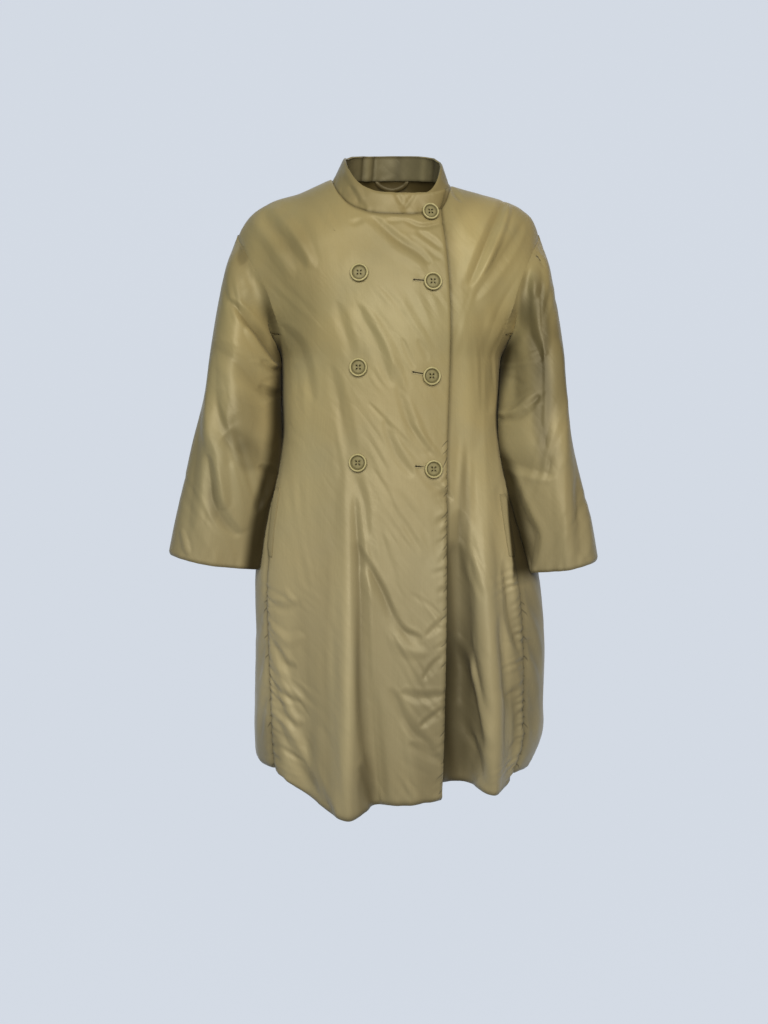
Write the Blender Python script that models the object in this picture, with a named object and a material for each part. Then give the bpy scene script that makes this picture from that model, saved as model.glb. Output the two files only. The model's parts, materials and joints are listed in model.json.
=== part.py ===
"""Double-breasted coat with a stand collar, filled out as worn and hollow, in even cloth walls."""
import math

import bmesh
import bpy
import numpy as np
from mathutils import Matrix, Vector

# Driving dimensions in metres. +Z up, the front faces -Y, +X is the wearer's left.
# The origin is the middle of the neck at the level of the shoulders.
WALL = 0.002
COLLAR_WALL = 0.0026
SEAM_HALF = 0.0005
SHOULDER_HALF = 0.0006
LAP = 0.0055
FLATNESS = 0.85
SHOULDER_ROLL = 0.09
TIP_HEIGHT = -0.068
COLLAR_RISE = 0.0355
COLLAR_GAP = 0.0022
BUTTON_RADIUS = 0.013
BUTTON_LIFT = 0.0006
HOLE_RING = 0.0033
HOLE_RADIUS = 0.0012

CLOTH = (0.33, 0.285, 0.13)
BUTTON = (0.26, 0.21, 0.08)

# Body sections: height, middle, half width, front depth, back depth
SECTIONS = (
    (0.10, -0.0055, 0.2195, 0.066, 0.058),
    (0.03, -0.0055, 0.2195, 0.070, 0.062),
    (-0.068, -0.0055, 0.2195, 0.096, 0.088),
    (-0.12, -0.0035, 0.2120, 0.112, 0.100),
    (-0.16, 0.0000, 0.1990, 0.120, 0.105),
    (-0.20, 0.0000, 0.1850, 0.125, 0.107),
    (-0.25, -0.0015, 0.1800, 0.128, 0.107),
    (-0.33, -0.0030, 0.1785, 0.130, 0.107),
    (-0.40, -0.0010, 0.1815, 0.134, 0.113),
    (-0.47, 0.0000, 0.1905, 0.140, 0.124),
    (-0.55, 0.0065, 0.2065, 0.147, 0.137),
    (-0.65, 0.0115, 0.2125, 0.152, 0.148),
    (-0.75, 0.0105, 0.2135, 0.153, 0.152),
    (-0.80, 0.0095, 0.2130, 0.152, 0.150),
    (-0.83, 0.0050, 0.2065, 0.150, 0.147),
    (-0.86, 0.0020, 0.1950, 0.147, 0.143),
    (-0.92, 0.0030, 0.1900, 0.143, 0.138),
)
# Shoulder line across the coat, carried on over the neck: across, front height, back height
SHOULDER_LINE = (
    (-0.225, -0.068, -0.068), (-0.209, -0.045, -0.045), (-0.178, -0.023, -0.023),
    (-0.134, -0.009, -0.009), (-0.089, 0.011, 0.011), (-0.070, 0.018, 0.032),
    (-0.045, 0.026, 0.059), (0.000, 0.040, 0.108), (0.043, 0.022, 0.056),
    (0.068, 0.009, 0.026), (0.086, 0.002, 0.002),
    (0.128, -0.010, -0.010), (0.163, -0.020, -0.020), (0.190, -0.033, -0.033),
    (0.205, -0.048, -0.048), (0.214, -0.068, -0.068),
)
# Neck line: across, front height, back height
NECK_LINE = (
    (-0.089, 0.011, 0.011), (-0.080, -0.007, 0.013), (-0.067, -0.024, 0.015),
    (-0.039, -0.040, 0.017), (0.000, -0.045, 0.018), (0.039, -0.044, 0.017),
    (0.058, -0.041, 0.015), (0.070, -0.033, 0.012), (0.079, -0.018, 0.008),
    (0.086, 0.002, 0.002),
)
NECK_RIGHT = NECK_LINE[0][0]
NECK_LEFT = NECK_LINE[-1][0]
# Edge of the right front: height, across
FRONT_EDGE = (
    (0.00, 0.069), (-0.04, 0.069), (-0.09, 0.075), (-0.12, 0.078), (-0.40, 0.077),
    (-0.60, 0.0755), (-0.75, 0.073), (-0.88, 0.070),
)
UNDER_EDGE = -0.066
# Side seams: height, degrees round from the front on the right, on the left
SIDE_SEAM = (
    (-0.215, 62.0, 62.0), (-0.33, 60.0, 58.5), (-0.45, 68.0, 62.0), (-0.60, 65.0, 56.5),
    (-0.75, 61.0, 57.0), (-0.90, 57.0, 60.0),
)
# Armhole on the fronts and on the back: height, degrees round from the front
FRONT_ARMHOLE = (
    (-0.215, 62.0), (-0.18, 60.0), (-0.145, 60.5), (-0.11, 66.0), (-0.085, 76.0), (-0.068, 90.0),
)
BACK_ARMHOLE = ((-0.165, 117.0), (-0.12, 115.0), (-0.09, 105.0), (-0.068, 90.0))
# Foot of the armhole, carried on across the back: degrees round from the front, height
UNDERARM = (
    (62.0, -0.215), (76.0, -0.212), (90.0, -0.206), (104.0, -0.195), (113.0, -0.180),
    (117.0, -0.165), (140.0, -0.155), (180.0, -0.150),
)
UNDERARM_TURN = 117.0
# Hems: across, height
HEM_RIGHT = (
    (-0.175, -0.844), (-0.140, -0.857), (-0.113, -0.875), (-0.085, -0.892), (-0.058, -0.896),
    (-0.033, -0.885), (-0.018, -0.881), (0.022, -0.878), (0.047, -0.875), (0.070, -0.873),
)
HEM_LEFT = (
    (-0.07, -0.842), (0.076, -0.841), (0.097, -0.848), (0.113, -0.852), (0.130, -0.859),
    (0.143, -0.866), (0.155, -0.866), (0.170, -0.860), (0.190, -0.847),
)
HEM_BACK = -0.846
# Largest folds: top and foot height, across at the top and at the foot, half width, height out
FRONT_FOLDS = (
    (-0.40, -0.90, -0.052, -0.062, 0.040, 0.024),
    (-0.50, -0.90, -0.044, -0.018, 0.022, -0.013),
    (-0.52, -0.90, -0.125, -0.128, 0.030, -0.010),
    (-0.62, -0.90, 0.020, 0.028, 0.030, 0.007),
    (-0.42, -0.88, 0.092, 0.102, 0.026, -0.010),
    (-0.40, -0.88, 0.126, 0.143, 0.030, 0.017),
)
BACK_FOLDS = (
    (-0.35, -0.88, -0.075, -0.095, 0.042, 0.012),
    (-0.40, -0.88, -0.020, -0.025, 0.034, -0.010),
    (-0.35, -0.88, 0.050, 0.062, 0.042, 0.012),
    (-0.45, -0.88, 0.110, 0.125, 0.034, -0.008),
)
# Sleeve sections down to the cuff: outer across and height, inner across and height, middle
# depth, half depth
SLEEVE_RIGHT = (
    (-0.237, -0.105, -0.174, -0.222, -0.008, 0.066),
    (-0.249, -0.156, -0.177, -0.246, -0.014, 0.070),
    (-0.261, -0.226, -0.178, -0.282, -0.024, 0.070),
    (-0.271, -0.301, -0.177, -0.330, -0.040, 0.066),
    (-0.288, -0.371, -0.176, -0.387, -0.052, 0.062),
    (-0.301, -0.431, -0.183, -0.442, -0.057, 0.060),
    (-0.312, -0.478, -0.190, -0.494, -0.059, 0.058),
    (-0.322, -0.527, -0.199, -0.553, -0.060, 0.056),
)
SLEEVE_LEFT = (
    (0.225, -0.105, 0.174, -0.222, -0.008, 0.066),
    (0.236, -0.160, 0.175, -0.250, -0.014, 0.070),
    (0.246, -0.230, 0.173, -0.288, -0.024, 0.070),
    (0.250, -0.310, 0.168, -0.345, -0.042, 0.066),
    (0.259, -0.371, 0.170, -0.397, -0.054, 0.062),
    (0.274, -0.433, 0.178, -0.450, -0.059, 0.060),
    (0.287, -0.482, 0.190, -0.500, -0.062, 0.058),
    (0.297, -0.535, 0.202, -0.557, -0.064, 0.056),
)
ARMHOLE_GAP = 0.0015
ARMHOLE_GAP_FOOT = 0.0052
SLEEVE_CLEAR = 0.0055
# Buttons: name, across, height, size against the full button
BUTTONS = (
    ("button_right_1", -0.046, -0.129, 1.0), ("button_right_2", -0.047, -0.260, 1.0),
    ("button_right_3", -0.048, -0.393, 1.0), ("button_left_1", 0.056, -0.141, 1.0),
    ("button_left_2", 0.054, -0.272, 1.0), ("button_left_3", 0.057, -0.402, 1.0),
)
COLLAR_BUTTON = ("button_collar", 0.052, -0.044, 0.93)
COLLAR_BUTTON_LIFT = 0.0042
COLLAR_BUTTON_TILT = math.radians(17)
# Side of a button: part of its radius, height
BUTTON_SIDE = (
    (0.0, 0.0), (0.90, 0.0), (1.0, 0.0012), (1.0, 0.0030), (0.93, 0.0042), (0.82, 0.0042),
    (0.72, 0.0028), (0.0, 0.0028),
)
# Pocket edges: name, top and foot height, inner and outer share of the front's width
POCKETS = (
    ("pocket_right", -0.430, -0.545, 0.925, 0.978),
    ("pocket_left", -0.440, -0.545, 0.925, 0.978),
)
POCKET_WALL = 0.0012
# Hanger loop: across, height
LOOP_PATH = (
    (-0.022, 0.012), (-0.019, 0.006), (-0.012, 0.0015), (0.0, 0.0), (0.012, 0.0015),
    (0.019, 0.006), (0.022, 0.012),
)
LOOP_WIDTH = 0.005
LOOP_WALL = 0.0012
LOOP_CLEAR = 0.0035

FRONT_COLUMNS = (11, 10)
FRONT_ROWS = 28
BACK_SIDE_COLUMNS = 7
BACK_SHOULDER_COLUMNS = 5
BACK_NECK_COLUMNS = 10
BACK_TOP_ROWS = 8
BACK_ROWS = 17
SLEEVE_AROUND = 24
SLEEVE_ROWS = 14
COLLAR_ROWS = 2
TOP_CROWDING = 1.75
NECK_CROWDING = 1.5


def read(table, column, at):
    """Smooth curve through one column of a table, read at the values of its first column."""
    rows = np.array(table, dtype=float)
    rows = rows[np.argsort(rows[:, 0])]
    knots = rows[:, 0]
    values = rows[:, column]
    slopes = np.gradient(values, knots)
    at = np.clip(np.asarray(at, dtype=float), knots[0], knots[-1])
    low = np.clip(np.searchsorted(knots, at) - 1, 0, len(knots) - 2)
    step = knots[low + 1] - knots[low]
    t = (at - knots[low]) / step
    start = values[low] * (1 + 2 * t) * (1 - t) ** 2 + slopes[low] * step * t * (1 - t) ** 2
    end = values[low + 1] * t * t * (3 - 2 * t) - slopes[low + 1] * step * t * t * (1 - t)
    return start + end


def ease(value, start, end):
    """Smooth step from 0 at start to 1 at end."""
    t = np.clip((np.asarray(value, dtype=float) - start) / (end - start), 0.0, 1.0)
    return t * t * (3 - 2 * t)


def fold_height(folds, across, height):
    """How far the folds stand out of the plain form at a place."""
    total = np.zeros_like(across)
    for top, foot, top_across, foot_across, half_width, out in folds:
        down = np.clip((top - height) / (top - foot), 0.0, 1.0)
        line = top_across + (foot_across - top_across) * down
        grown = down * down * (3 - 2 * down)
        total = total + out * grown * np.exp(-((across - line) / (0.62 * half_width)) ** 2)
    return total


def body_point(angle, height):
    """Points of the coat's body at angles round from the front, in radians, and at heights."""
    angle, height = np.broadcast_arrays(np.asarray(angle, dtype=float), height)
    middle = read(SECTIONS, 1, height)
    half = read(SECTIONS, 2, height)
    facing = np.cos(angle)
    front = facing >= 0
    depth = np.where(front, read(SECTIONS, 3, height), read(SECTIONS, 4, height))
    x = middle + half * np.sin(angle)
    line = np.where(front, read(SHOULDER_LINE, 1, x), read(SHOULDER_LINE, 2, x))
    below = np.clip((line - height) / SHOULDER_ROLL, 0.0, 1.0)
    roll = np.sqrt(np.clip(1 - (1 - below) ** 2, 0.0, 1.0))
    y = -np.sign(facing) * depth * np.abs(facing) ** FLATNESS * roll
    out = np.where(front, fold_height(FRONT_FOLDS, x, height), fold_height(BACK_FOLDS, x, height))
    normal_x = np.sin(angle) / half
    normal_y = -facing / depth
    length = np.hypot(normal_x, normal_y)
    return np.stack([x + out * normal_x / length, y + out * normal_y / length, height], axis=-1)


def angle_at(across, height):
    """Angle round from the front of a place across the coat."""
    share = (across - read(SECTIONS, 1, height)) / read(SECTIONS, 2, height)
    return np.arcsin(np.clip(share, -1.0, 1.0))


def grid_normals(grid, turned=False, closed=False):
    """Unit normals of a grid of points, rows first; closed grids run on from the last column."""
    down = np.gradient(grid, axis=0)
    if closed:
        wide = np.concatenate([grid[:, -2:-1], grid, grid[:, 1:2]], axis=1)
        across = np.gradient(wide, axis=1)[:, 1:-1]
    else:
        across = np.gradient(grid, axis=1)
    normal = np.cross(across, down)
    if turned:
        normal = -normal
    return normal / np.maximum(np.linalg.norm(normal, axis=-1, keepdims=True), 1e-12)


def new_material(name, colour, roughness):
    """A Principled material of one colour."""
    material = bpy.data.materials.new(name)
    material.use_nodes = True
    shader = material.node_tree.nodes["Principled BSDF"]
    shader.inputs["Base Color"].default_value = (*colour, 1.0)
    shader.inputs["Roughness"].default_value = roughness
    shader.inputs["Metallic"].default_value = 0.0
    material.diffuse_color = (*colour, 1.0)
    return material


def add_object(name, mesh, colour, roughness):
    """One named object of the coat with a material of its own."""
    mesh.name = name
    part = bpy.data.objects.new(name, mesh)
    part.data.materials.append(new_material(name + "_finish", colour, roughness))
    bpy.context.scene.collection.objects.link(part)
    return part


def cloth_mesh(name, outer, inner, dropped=(), closed=False):
    """Closed wall between two grids of points; dropped lists cells (row, column) left open."""
    rows, columns = outer.shape[:2]
    shape = bmesh.new()
    bmesh.ops.create_grid(shape, x_segments=columns - 1, y_segments=rows - 1, size=1.0)
    spot = shape.verts.layers.int.new("spot")
    for vert in shape.verts:
        column = round((vert.co.x + 1) / 2 * (columns - 1))
        row = round((vert.co.y + 1) / 2 * (rows - 1))
        vert[spot] = row * columns + column
    if dropped:
        gone = []
        for face in shape.faces:
            corner = min(vert[spot] for vert in face.verts)
            if divmod(corner, columns) in dropped:
                gone.append(face)
        bmesh.ops.delete(shape, geom=gone, context="FACES")
    flat_outer = outer.reshape(-1, 3)
    flat_inner = inner.reshape(-1, 3)
    for vert in shape.verts:
        vert.co = Vector(flat_outer[vert[spot]])
    if closed:
        bmesh.ops.remove_doubles(shape, verts=shape.verts[:], dist=1e-7)
    wall = bmesh.ops.extrude_face_region(shape, geom=shape.faces[:], use_keep_orig=True)
    for item in wall["geom"]:
        if isinstance(item, bmesh.types.BMVert):
            item.co = Vector(flat_inner[item[spot]])
    bmesh.ops.recalc_face_normals(shape, faces=shape.faces[:])
    bmesh.ops.triangulate(shape, faces=shape.faces[:])
    mesh = bpy.data.meshes.new(name)
    shape.to_mesh(mesh)
    shape.free()
    return mesh


def front_columns(start_angle, neck_angle, side):
    """Shares of a front's width, with one column at the neck end of the shoulder seam."""
    neck_share = (neck_angle - start_angle) / (side * math.pi / 2 - start_angle)
    near = neck_share * (1 - np.linspace(1.0, 0.0, FRONT_COLUMNS[0] + 1) ** NECK_CROWDING)
    far = np.linspace(neck_share, 1.0, FRONT_COLUMNS[1] + 1)
    return np.concatenate([near, far[1:]])


def front_angles(shares, heights, side):
    """Angles of a front's columns at a set of heights; side is -1 for the right front, 1 for the left."""
    edge = read(FRONT_EDGE, 1, heights) if side < 0 else np.full_like(heights, UNDER_EDGE)
    start = angle_at(edge, heights)
    seam = read(SIDE_SEAM, 1 if side < 0 else 2, heights)
    degrees = np.where(heights > FRONT_ARMHOLE[0][0], read(FRONT_ARMHOLE, 1, heights), seam)
    end = side * np.radians(degrees)
    return start + shares * (end - start)


def lap_inset(points, side):
    """How far the left front lies behind the plain form, to stay behind the right front."""
    if side < 0:
        return np.zeros(points.shape[:-1])
    height = points[..., 2]
    start = read(FRONT_EDGE, 1, height) + 0.004
    end = np.where(height > -0.12, 0.088 + 0.052 * ease(-height, 0.03, 0.12), 0.14)
    return LAP * (1 - ease(points[..., 0], start, np.maximum(end, start + 0.004)))


def front_grid(side):
    """Middle surface of a front and its normals, rows from the top edge to the hem."""
    top_edge = FRONT_EDGE[1][1] if side < 0 else UNDER_EDGE
    neck = NECK_RIGHT if side < 0 else NECK_LEFT
    top_level = np.array(0.0)
    start = float(angle_at(top_edge, top_level))
    shares = front_columns(start, float(angle_at(neck, top_level)), side)
    top_angles = start + shares * (side * math.pi / 2 - start)
    top_across = read(SECTIONS, 1, top_level) + read(SECTIONS, 2, top_level) * np.sin(top_angles)
    on_neck = side * top_across <= side * neck + 1e-6
    top = np.where(on_neck, read(NECK_LINE, 1, top_across), read(SHOULDER_LINE, 1, top_across))
    foot_level = np.full_like(shares, -0.86)
    foot_across = body_point(front_angles(shares, foot_level, side), foot_level)[..., 0]
    hem = read(HEM_RIGHT if side < 0 else HEM_LEFT, 1, foot_across)
    crowd = np.linspace(0.0, 1.0, FRONT_ROWS + 1) ** TOP_CROWDING
    heights = top + crowd[:, None] * (hem - top)
    angles = front_angles(np.broadcast_to(shares, heights.shape), heights, side)
    above_tip = heights > TIP_HEIGHT
    angles = np.where(above_tip, np.broadcast_to(top_angles, heights.shape), angles)
    grid = body_point(angles, heights)
    normals = grid_normals(grid, turned=side > 0)
    grid = grid - normals * lap_inset(grid, side)[..., None]
    grid[0, FRONT_COLUMNS[0]:, 1] -= SHOULDER_HALF
    across = grid[:, -1] - grid[:, -2]
    grid[:, -1] -= across / np.linalg.norm(across, axis=-1, keepdims=True) * SEAM_HALF
    return grid, normals


def back_grid():
    """Middle surface of the back, its normals, and the cells cut away under the arms."""
    turn = math.radians(UNDERARM_TURN)
    foot_right = math.radians(UNDERARM[0][0])
    level = np.array(0.0)
    neck_right = math.pi + float(angle_at(NECK_RIGHT, level))
    neck_left = math.pi + float(angle_at(NECK_LEFT, level))
    right = np.linspace(math.pi / 2, neck_right, BACK_SHOULDER_COLUMNS + 1)
    swing = (1 - np.cos(np.linspace(0.0, math.pi, BACK_NECK_COLUMNS + 1))) / 2
    neck = (neck_right + swing * (neck_left - neck_right))[1:]
    left = np.linspace(neck_left, 1.5 * math.pi, BACK_SHOULDER_COLUMNS + 1)[1:]
    middle = np.concatenate([right, neck, left])
    middle_base = math.pi - (math.pi - middle) * (math.pi - turn) / (math.pi / 2)
    side = np.linspace(foot_right, turn, BACK_SIDE_COLUMNS + 1)[:-1]
    base = np.concatenate([side, middle_base, (2 * math.pi - side)[::-1]])
    fold = np.minimum(base, 2 * math.pi - base)
    split = read(UNDERARM, 1, np.degrees(fold))
    columns = len(base)
    reach = (math.pi - base) / (math.pi - turn)
    top_angles = math.pi - np.clip(reach, -1.0, 1.0) * math.pi / 2
    top_across = read(SECTIONS, 1, level) - read(SECTIONS, 2, level) * np.sin(top_angles)
    on_neck = (top_across > NECK_RIGHT - 1e-6) & (top_across < NECK_LEFT + 1e-6)
    top = np.where(on_neck, read(NECK_LINE, 2, top_across), read(SHOULDER_LINE, 2, top_across))
    crowd = np.linspace(0.0, 1.0, BACK_TOP_ROWS + 1) ** TOP_CROWDING
    upper = top + crowd[:, None] * (split - top)
    even = np.linspace(0.0, 1.0, BACK_ROWS + 1)[1:]
    lower = split + even[:, None] * (HEM_BACK - split)
    heights = np.concatenate([upper, lower])
    open_angle = np.where(heights > TIP_HEIGHT, 90.0, read(BACK_ARMHOLE, 1, heights))
    spread = math.pi - reach * (math.pi - np.radians(open_angle))
    right_seam = np.radians(read(SIDE_SEAM, 1, heights))
    left_seam = np.radians(read(SIDE_SEAM, 2, heights))
    end = np.where(base <= math.pi, right_seam, left_seam)
    share = (math.pi - fold) / (math.pi - foot_right)
    lower_fold = math.pi - share * (math.pi - end)
    lower_angle = np.where(base <= math.pi, lower_fold, 2 * math.pi - lower_fold)
    is_upper = np.arange(heights.shape[0])[:, None] < BACK_TOP_ROWS
    angles = -np.where(is_upper, spread, lower_angle)
    grid = body_point(angles, heights)
    normals = grid_normals(grid, turned=False)
    first = BACK_SIDE_COLUMNS + BACK_SHOULDER_COLUMNS
    grid[0, :first + 1, 1] += SHOULDER_HALF
    grid[0, first + BACK_NECK_COLUMNS:, 1] += SHOULDER_HALF
    for edge, next_in in ((0, 1), (-1, -2)):
        across = grid[BACK_TOP_ROWS:, edge] - grid[BACK_TOP_ROWS:, next_in]
        length = np.linalg.norm(across, axis=-1, keepdims=True)
        grid[BACK_TOP_ROWS:, edge] -= across / length * SEAM_HALF
    cut = set(range(BACK_SIDE_COLUMNS)) | set(range(columns - 1 - BACK_SIDE_COLUMNS, columns - 1))
    dropped = {(row, column) for row in range(BACK_TOP_ROWS) for column in cut}
    return grid, normals, dropped


def armhole_loop(side, count):
    """Armhole from the shoulder tip down the front, under the arm and up the back."""
    front = [(degrees, height) for height, degrees in reversed(FRONT_ARMHOLE)]
    foot = [row for row in UNDERARM if row[0] <= UNDERARM_TURN][1:]
    back = [(degrees, height) for height, degrees in BACK_ARMHOLE][1:]
    key = np.array(front + foot + back)
    fine = np.linspace(0.0, len(key) - 1, 400)
    degrees = np.interp(fine, np.arange(len(key)), key[:, 0])
    heights = np.interp(fine, np.arange(len(key)), key[:, 1])
    points = body_point(side * np.radians(degrees), heights)
    run = np.concatenate([[0.0], np.cumsum(np.linalg.norm(np.diff(points, axis=0), axis=1))])
    even = np.linspace(0.0, run[-1], count + 1)
    loop = np.stack([np.interp(even, run, points[:, axis]) for axis in range(3)], axis=-1)
    outward = loop * np.array([1.0, 1.0, 0.0])
    outward /= np.linalg.norm(outward, axis=-1, keepdims=True)
    centre = loop[:-1].mean(axis=0)
    into = centre - loop
    into -= outward * (into * outward).sum(axis=-1, keepdims=True)
    into /= np.linalg.norm(into, axis=-1, keepdims=True)
    return loop, outward, into


def body_side(points, side):
    """How far across the body's side reaches at the depth and height of points, with clear space."""
    height = points[..., 2]
    depth = np.where(points[..., 1] < 0, read(SECTIONS, 3, height), read(SECTIONS, 4, height))
    share = np.clip(np.abs(points[..., 1]) / (depth + SLEEVE_CLEAR), 0.0, 1.0)
    reach = np.sqrt(1 - share ** (2 / FLATNESS))
    return read(SECTIONS, 1, height) + side * (read(SECTIONS, 2, height) + SLEEVE_CLEAR) * reach


def sleeve_grid(side):
    """Middle surface of a sleeve and its normals, rows from the armhole to the cuff."""
    sections = np.array(SLEEVE_RIGHT if side < 0 else SLEEVE_LEFT)
    turn = np.linspace(0.0, 2 * math.pi, SLEEVE_AROUND + 1)
    loop, outward, into = armhole_loop(side, SLEEVE_AROUND)
    under = ((1 - np.cos(turn)) / 2)[:, None]
    lift = ARMHOLE_GAP_FOOT * under ** 3 + ARMHOLE_GAP * (1 - under) ** 3
    rings = [loop + into * ARMHOLE_GAP + outward * lift]
    knots = np.arange(len(sections), dtype=float)
    table = np.column_stack([knots, sections])
    for at in np.linspace(0.0, knots[-1], SLEEVE_ROWS):
        row = [float(read(table, column, at)) for column in range(1, 7)]
        outer = np.array([row[0], row[4], row[1]])
        inner = np.array([row[2], row[4], row[3]])
        centre = (outer + inner) / 2
        reach = (outer - inner) / 2
        ring = centre + np.cos(turn)[:, None] * reach
        ring[:, 1] -= np.sin(turn) * row[5]
        rings.append(ring)
    grid = np.array(rings)
    grid[1:, :, 0] = side * np.maximum(side * grid[1:, :, 0], side * body_side(grid[1:], side))
    return grid, grid_normals(grid, turned=side > 0, closed=True)


def halved(line):
    """A line of points with one more between each two."""
    count = len(line)
    at = np.linspace(0.0, count - 1, 2 * count - 1)
    return np.stack([np.interp(at, np.arange(count), line[:, axis]) for axis in range(3)], axis=-1)


def collar_grid(right, back, left):
    """Middle surface of the collar band, from its lapping end round the panels' neck edges."""
    first = BACK_SIDE_COLUMNS + BACK_SHOULDER_COLUMNS
    over = halved(right[0, :FRONT_COLUMNS[0] + 1])
    behind = halved(back[0, first:first + BACK_NECK_COLUMNS + 1])[1:]
    under = halved(left[0, :FRONT_COLUMNS[0] + 1][::-1])[1:-2]
    base = np.concatenate([over, behind, under])
    place = np.arange(len(base))
    is_over = place < len(over)
    across = base[:, 0]
    out = np.stack([across / 0.0875 ** 2, (base[:, 1] + 0.008) / 0.07 ** 2, 0 * across], axis=-1)
    out /= np.linalg.norm(out, axis=-1, keepdims=True)
    tucked = ease(base[:, 1], -0.025, 0.02)
    base = base - out * (0.0008 + 0.0024 * tucked)[:, None]
    base[:, 2] += COLLAR_GAP * (1 - tucked) - 0.001 * tucked
    end_flare = np.where(is_over, ease(across, 0.012, 0.069), 0.0)
    top = base.copy()
    top[:, 0] *= np.where(across < 0, 0.79, 0.84) + 0.30 * end_flare
    top[:, 1] = -0.006 + (base[:, 1] + 0.006) * (0.92 + 0.05 * end_flare)
    top[:, 2] += COLLAR_RISE - 0.0065 * end_flare
    shares = np.linspace(0.0, 1.0, COLLAR_ROWS + 1)
    bulge = -0.0006 * np.sin(shares * math.pi)
    grid = top + (base - top) * shares[:, None, None] + out * bulge[:, None, None]
    return grid, grid_normals(grid, turned=False)


def surface_place(across, height):
    """Point and outward normal of the right front's outside at a place."""
    step = 0.002
    places = []
    for dx, dz in ((0, 0), (step, 0), (-step, 0), (0, step), (0, -step)):
        level = np.array(height + dz)
        places.append(Vector(body_point(angle_at(across + dx, level), level)))
    normal = (places[1] - places[2]).cross(places[3] - places[4]).normalized()
    return places[0] + normal * (WALL / 2), normal


def button_mesh():
    """Round button with a raised rim and four holes, its back on the ground plane."""
    shape = bmesh.new()
    side = [shape.verts.new((share * BUTTON_RADIUS, 0.0, height)) for share, height in BUTTON_SIDE]
    edges = [shape.edges.new(pair) for pair in zip(side, side[1:])]
    bmesh.ops.spin(shape, geom=side + edges, cent=(0, 0, 0), axis=(0, 0, 1), angle=2 * math.pi, steps=16)
    bmesh.ops.remove_doubles(shape, verts=shape.verts[:], dist=1e-6)
    bmesh.ops.recalc_face_normals(shape, faces=shape.faces[:])
    mesh = bpy.data.meshes.new("button_blank")
    shape.to_mesh(mesh)
    shape.free()
    blank = bpy.data.objects.new("button_blank", mesh)
    bpy.context.scene.collection.objects.link(blank)
    drill = bmesh.new()
    for quarter in range(4):
        turn = math.pi / 4 + quarter * math.pi / 2
        spot = Matrix.Translation((HOLE_RING * math.cos(turn), HOLE_RING * math.sin(turn), 0.002))
        bmesh.ops.create_cone(drill, cap_ends=True, segments=5, radius1=HOLE_RADIUS,
                              radius2=HOLE_RADIUS, depth=0.01, matrix=spot)
    drill_mesh = bpy.data.meshes.new("button_drill")
    drill.to_mesh(drill_mesh)
    drill.free()
    cutter = bpy.data.objects.new("button_drill", drill_mesh)
    bpy.context.scene.collection.objects.link(cutter)
    cut = blank.modifiers.new("holes", "BOOLEAN")
    cut.operation = "DIFFERENCE"
    cut.solver = "EXACT"
    cut.object = cutter
    graph = bpy.context.evaluated_depsgraph_get()
    finished = bpy.data.meshes.new_from_object(blank.evaluated_get(graph))
    bpy.data.objects.remove(blank)
    bpy.data.objects.remove(cutter)
    return finished


def add_buttons():
    """The seven buttons, each lying on the cloth along its normal."""
    master = button_mesh()
    places = [(*row, *surface_place(row[1], row[2]), BUTTON_LIFT) for row in BUTTONS]
    name, across, height, size = COLLAR_BUTTON
    point, normal = surface_place(across, height)
    lean = Vector((normal.x, normal.y, 0)).normalized() * math.cos(COLLAR_BUTTON_TILT)
    lean.z = math.sin(COLLAR_BUTTON_TILT)
    places.append((name, across, height, size, point, lean, COLLAR_BUTTON_LIFT))
    for name, across, height, size, point, normal, lift in places:
        turn = normal.to_track_quat("Z", "Y").to_matrix().to_4x4()
        mesh = master.copy()
        mesh.transform(Matrix.Translation(point + normal * lift) @ turn @ Matrix.Scale(size, 4))
        add_object(name, mesh, BUTTON, 0.3)


def add_pocket(name, top, foot, near, far, front, normals):
    """Folded edge of a pocket, made from the front's points moved out."""
    heights = np.linspace(top, foot, 9)
    shares = np.linspace(near, far, 3)
    columns = front.shape[1] - 1
    rows = []
    for height in heights:
        row = []
        for share in shares:
            at = share * columns
            low = min(int(at), columns - 1)
            mix = at - low
            line = front[:, low] * (1 - mix) + front[:, low + 1] * mix
            normal_line = normals[:, low] * (1 - mix) + normals[:, low + 1] * mix
            order = np.argsort(line[:, 2])
            spot = [np.interp(height, line[order, 2], line[order, axis]) for axis in range(3)]
            lean = [np.interp(height, line[order, 2], normal_line[order, axis]) for axis in range(3)]
            row.append((np.array(spot), np.array(lean)))
        rows.append(row)
    spots = np.array([[spot for spot, lean in row] for row in rows])
    leans = np.array([[lean for spot, lean in row] for row in rows])
    low = spots + leans * (WALL / 2 + 0.0008)
    mesh = cloth_mesh(name, low + leans * POCKET_WALL, low)
    add_object(name, mesh, CLOTH, 0.5)


def add_loop():
    """Hanger loop hanging inside the back of the neck."""
    path = np.array(LOOP_PATH)
    run = np.linspace(0.0, len(path) - 1, 15)
    across = np.interp(run, np.arange(len(path)), path[:, 0])
    height = np.interp(run, np.arange(len(path)), path[:, 1])
    line = np.stack([across, height], axis=-1)
    along = np.gradient(line, axis=0)
    along /= np.linalg.norm(along, axis=-1, keepdims=True)
    side = np.stack([-along[:, 1], along[:, 0]], axis=-1)
    grid = []
    for offset in (-LOOP_WIDTH / 2, LOOP_WIDTH / 2):
        flat = line + side * offset
        angle = math.pi - angle_at(flat[:, 0], flat[:, 1])
        points = body_point(angle, flat[:, 1])
        points[:, 1] -= WALL / 2 + LOOP_WALL + LOOP_CLEAR
        grid.append(points)
    near = np.array(grid)
    far = near.copy()
    far[..., 1] += LOOP_WALL
    add_object("hanger_loop", cloth_mesh("hanger_loop", near, far), CLOTH, 0.55)


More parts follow.
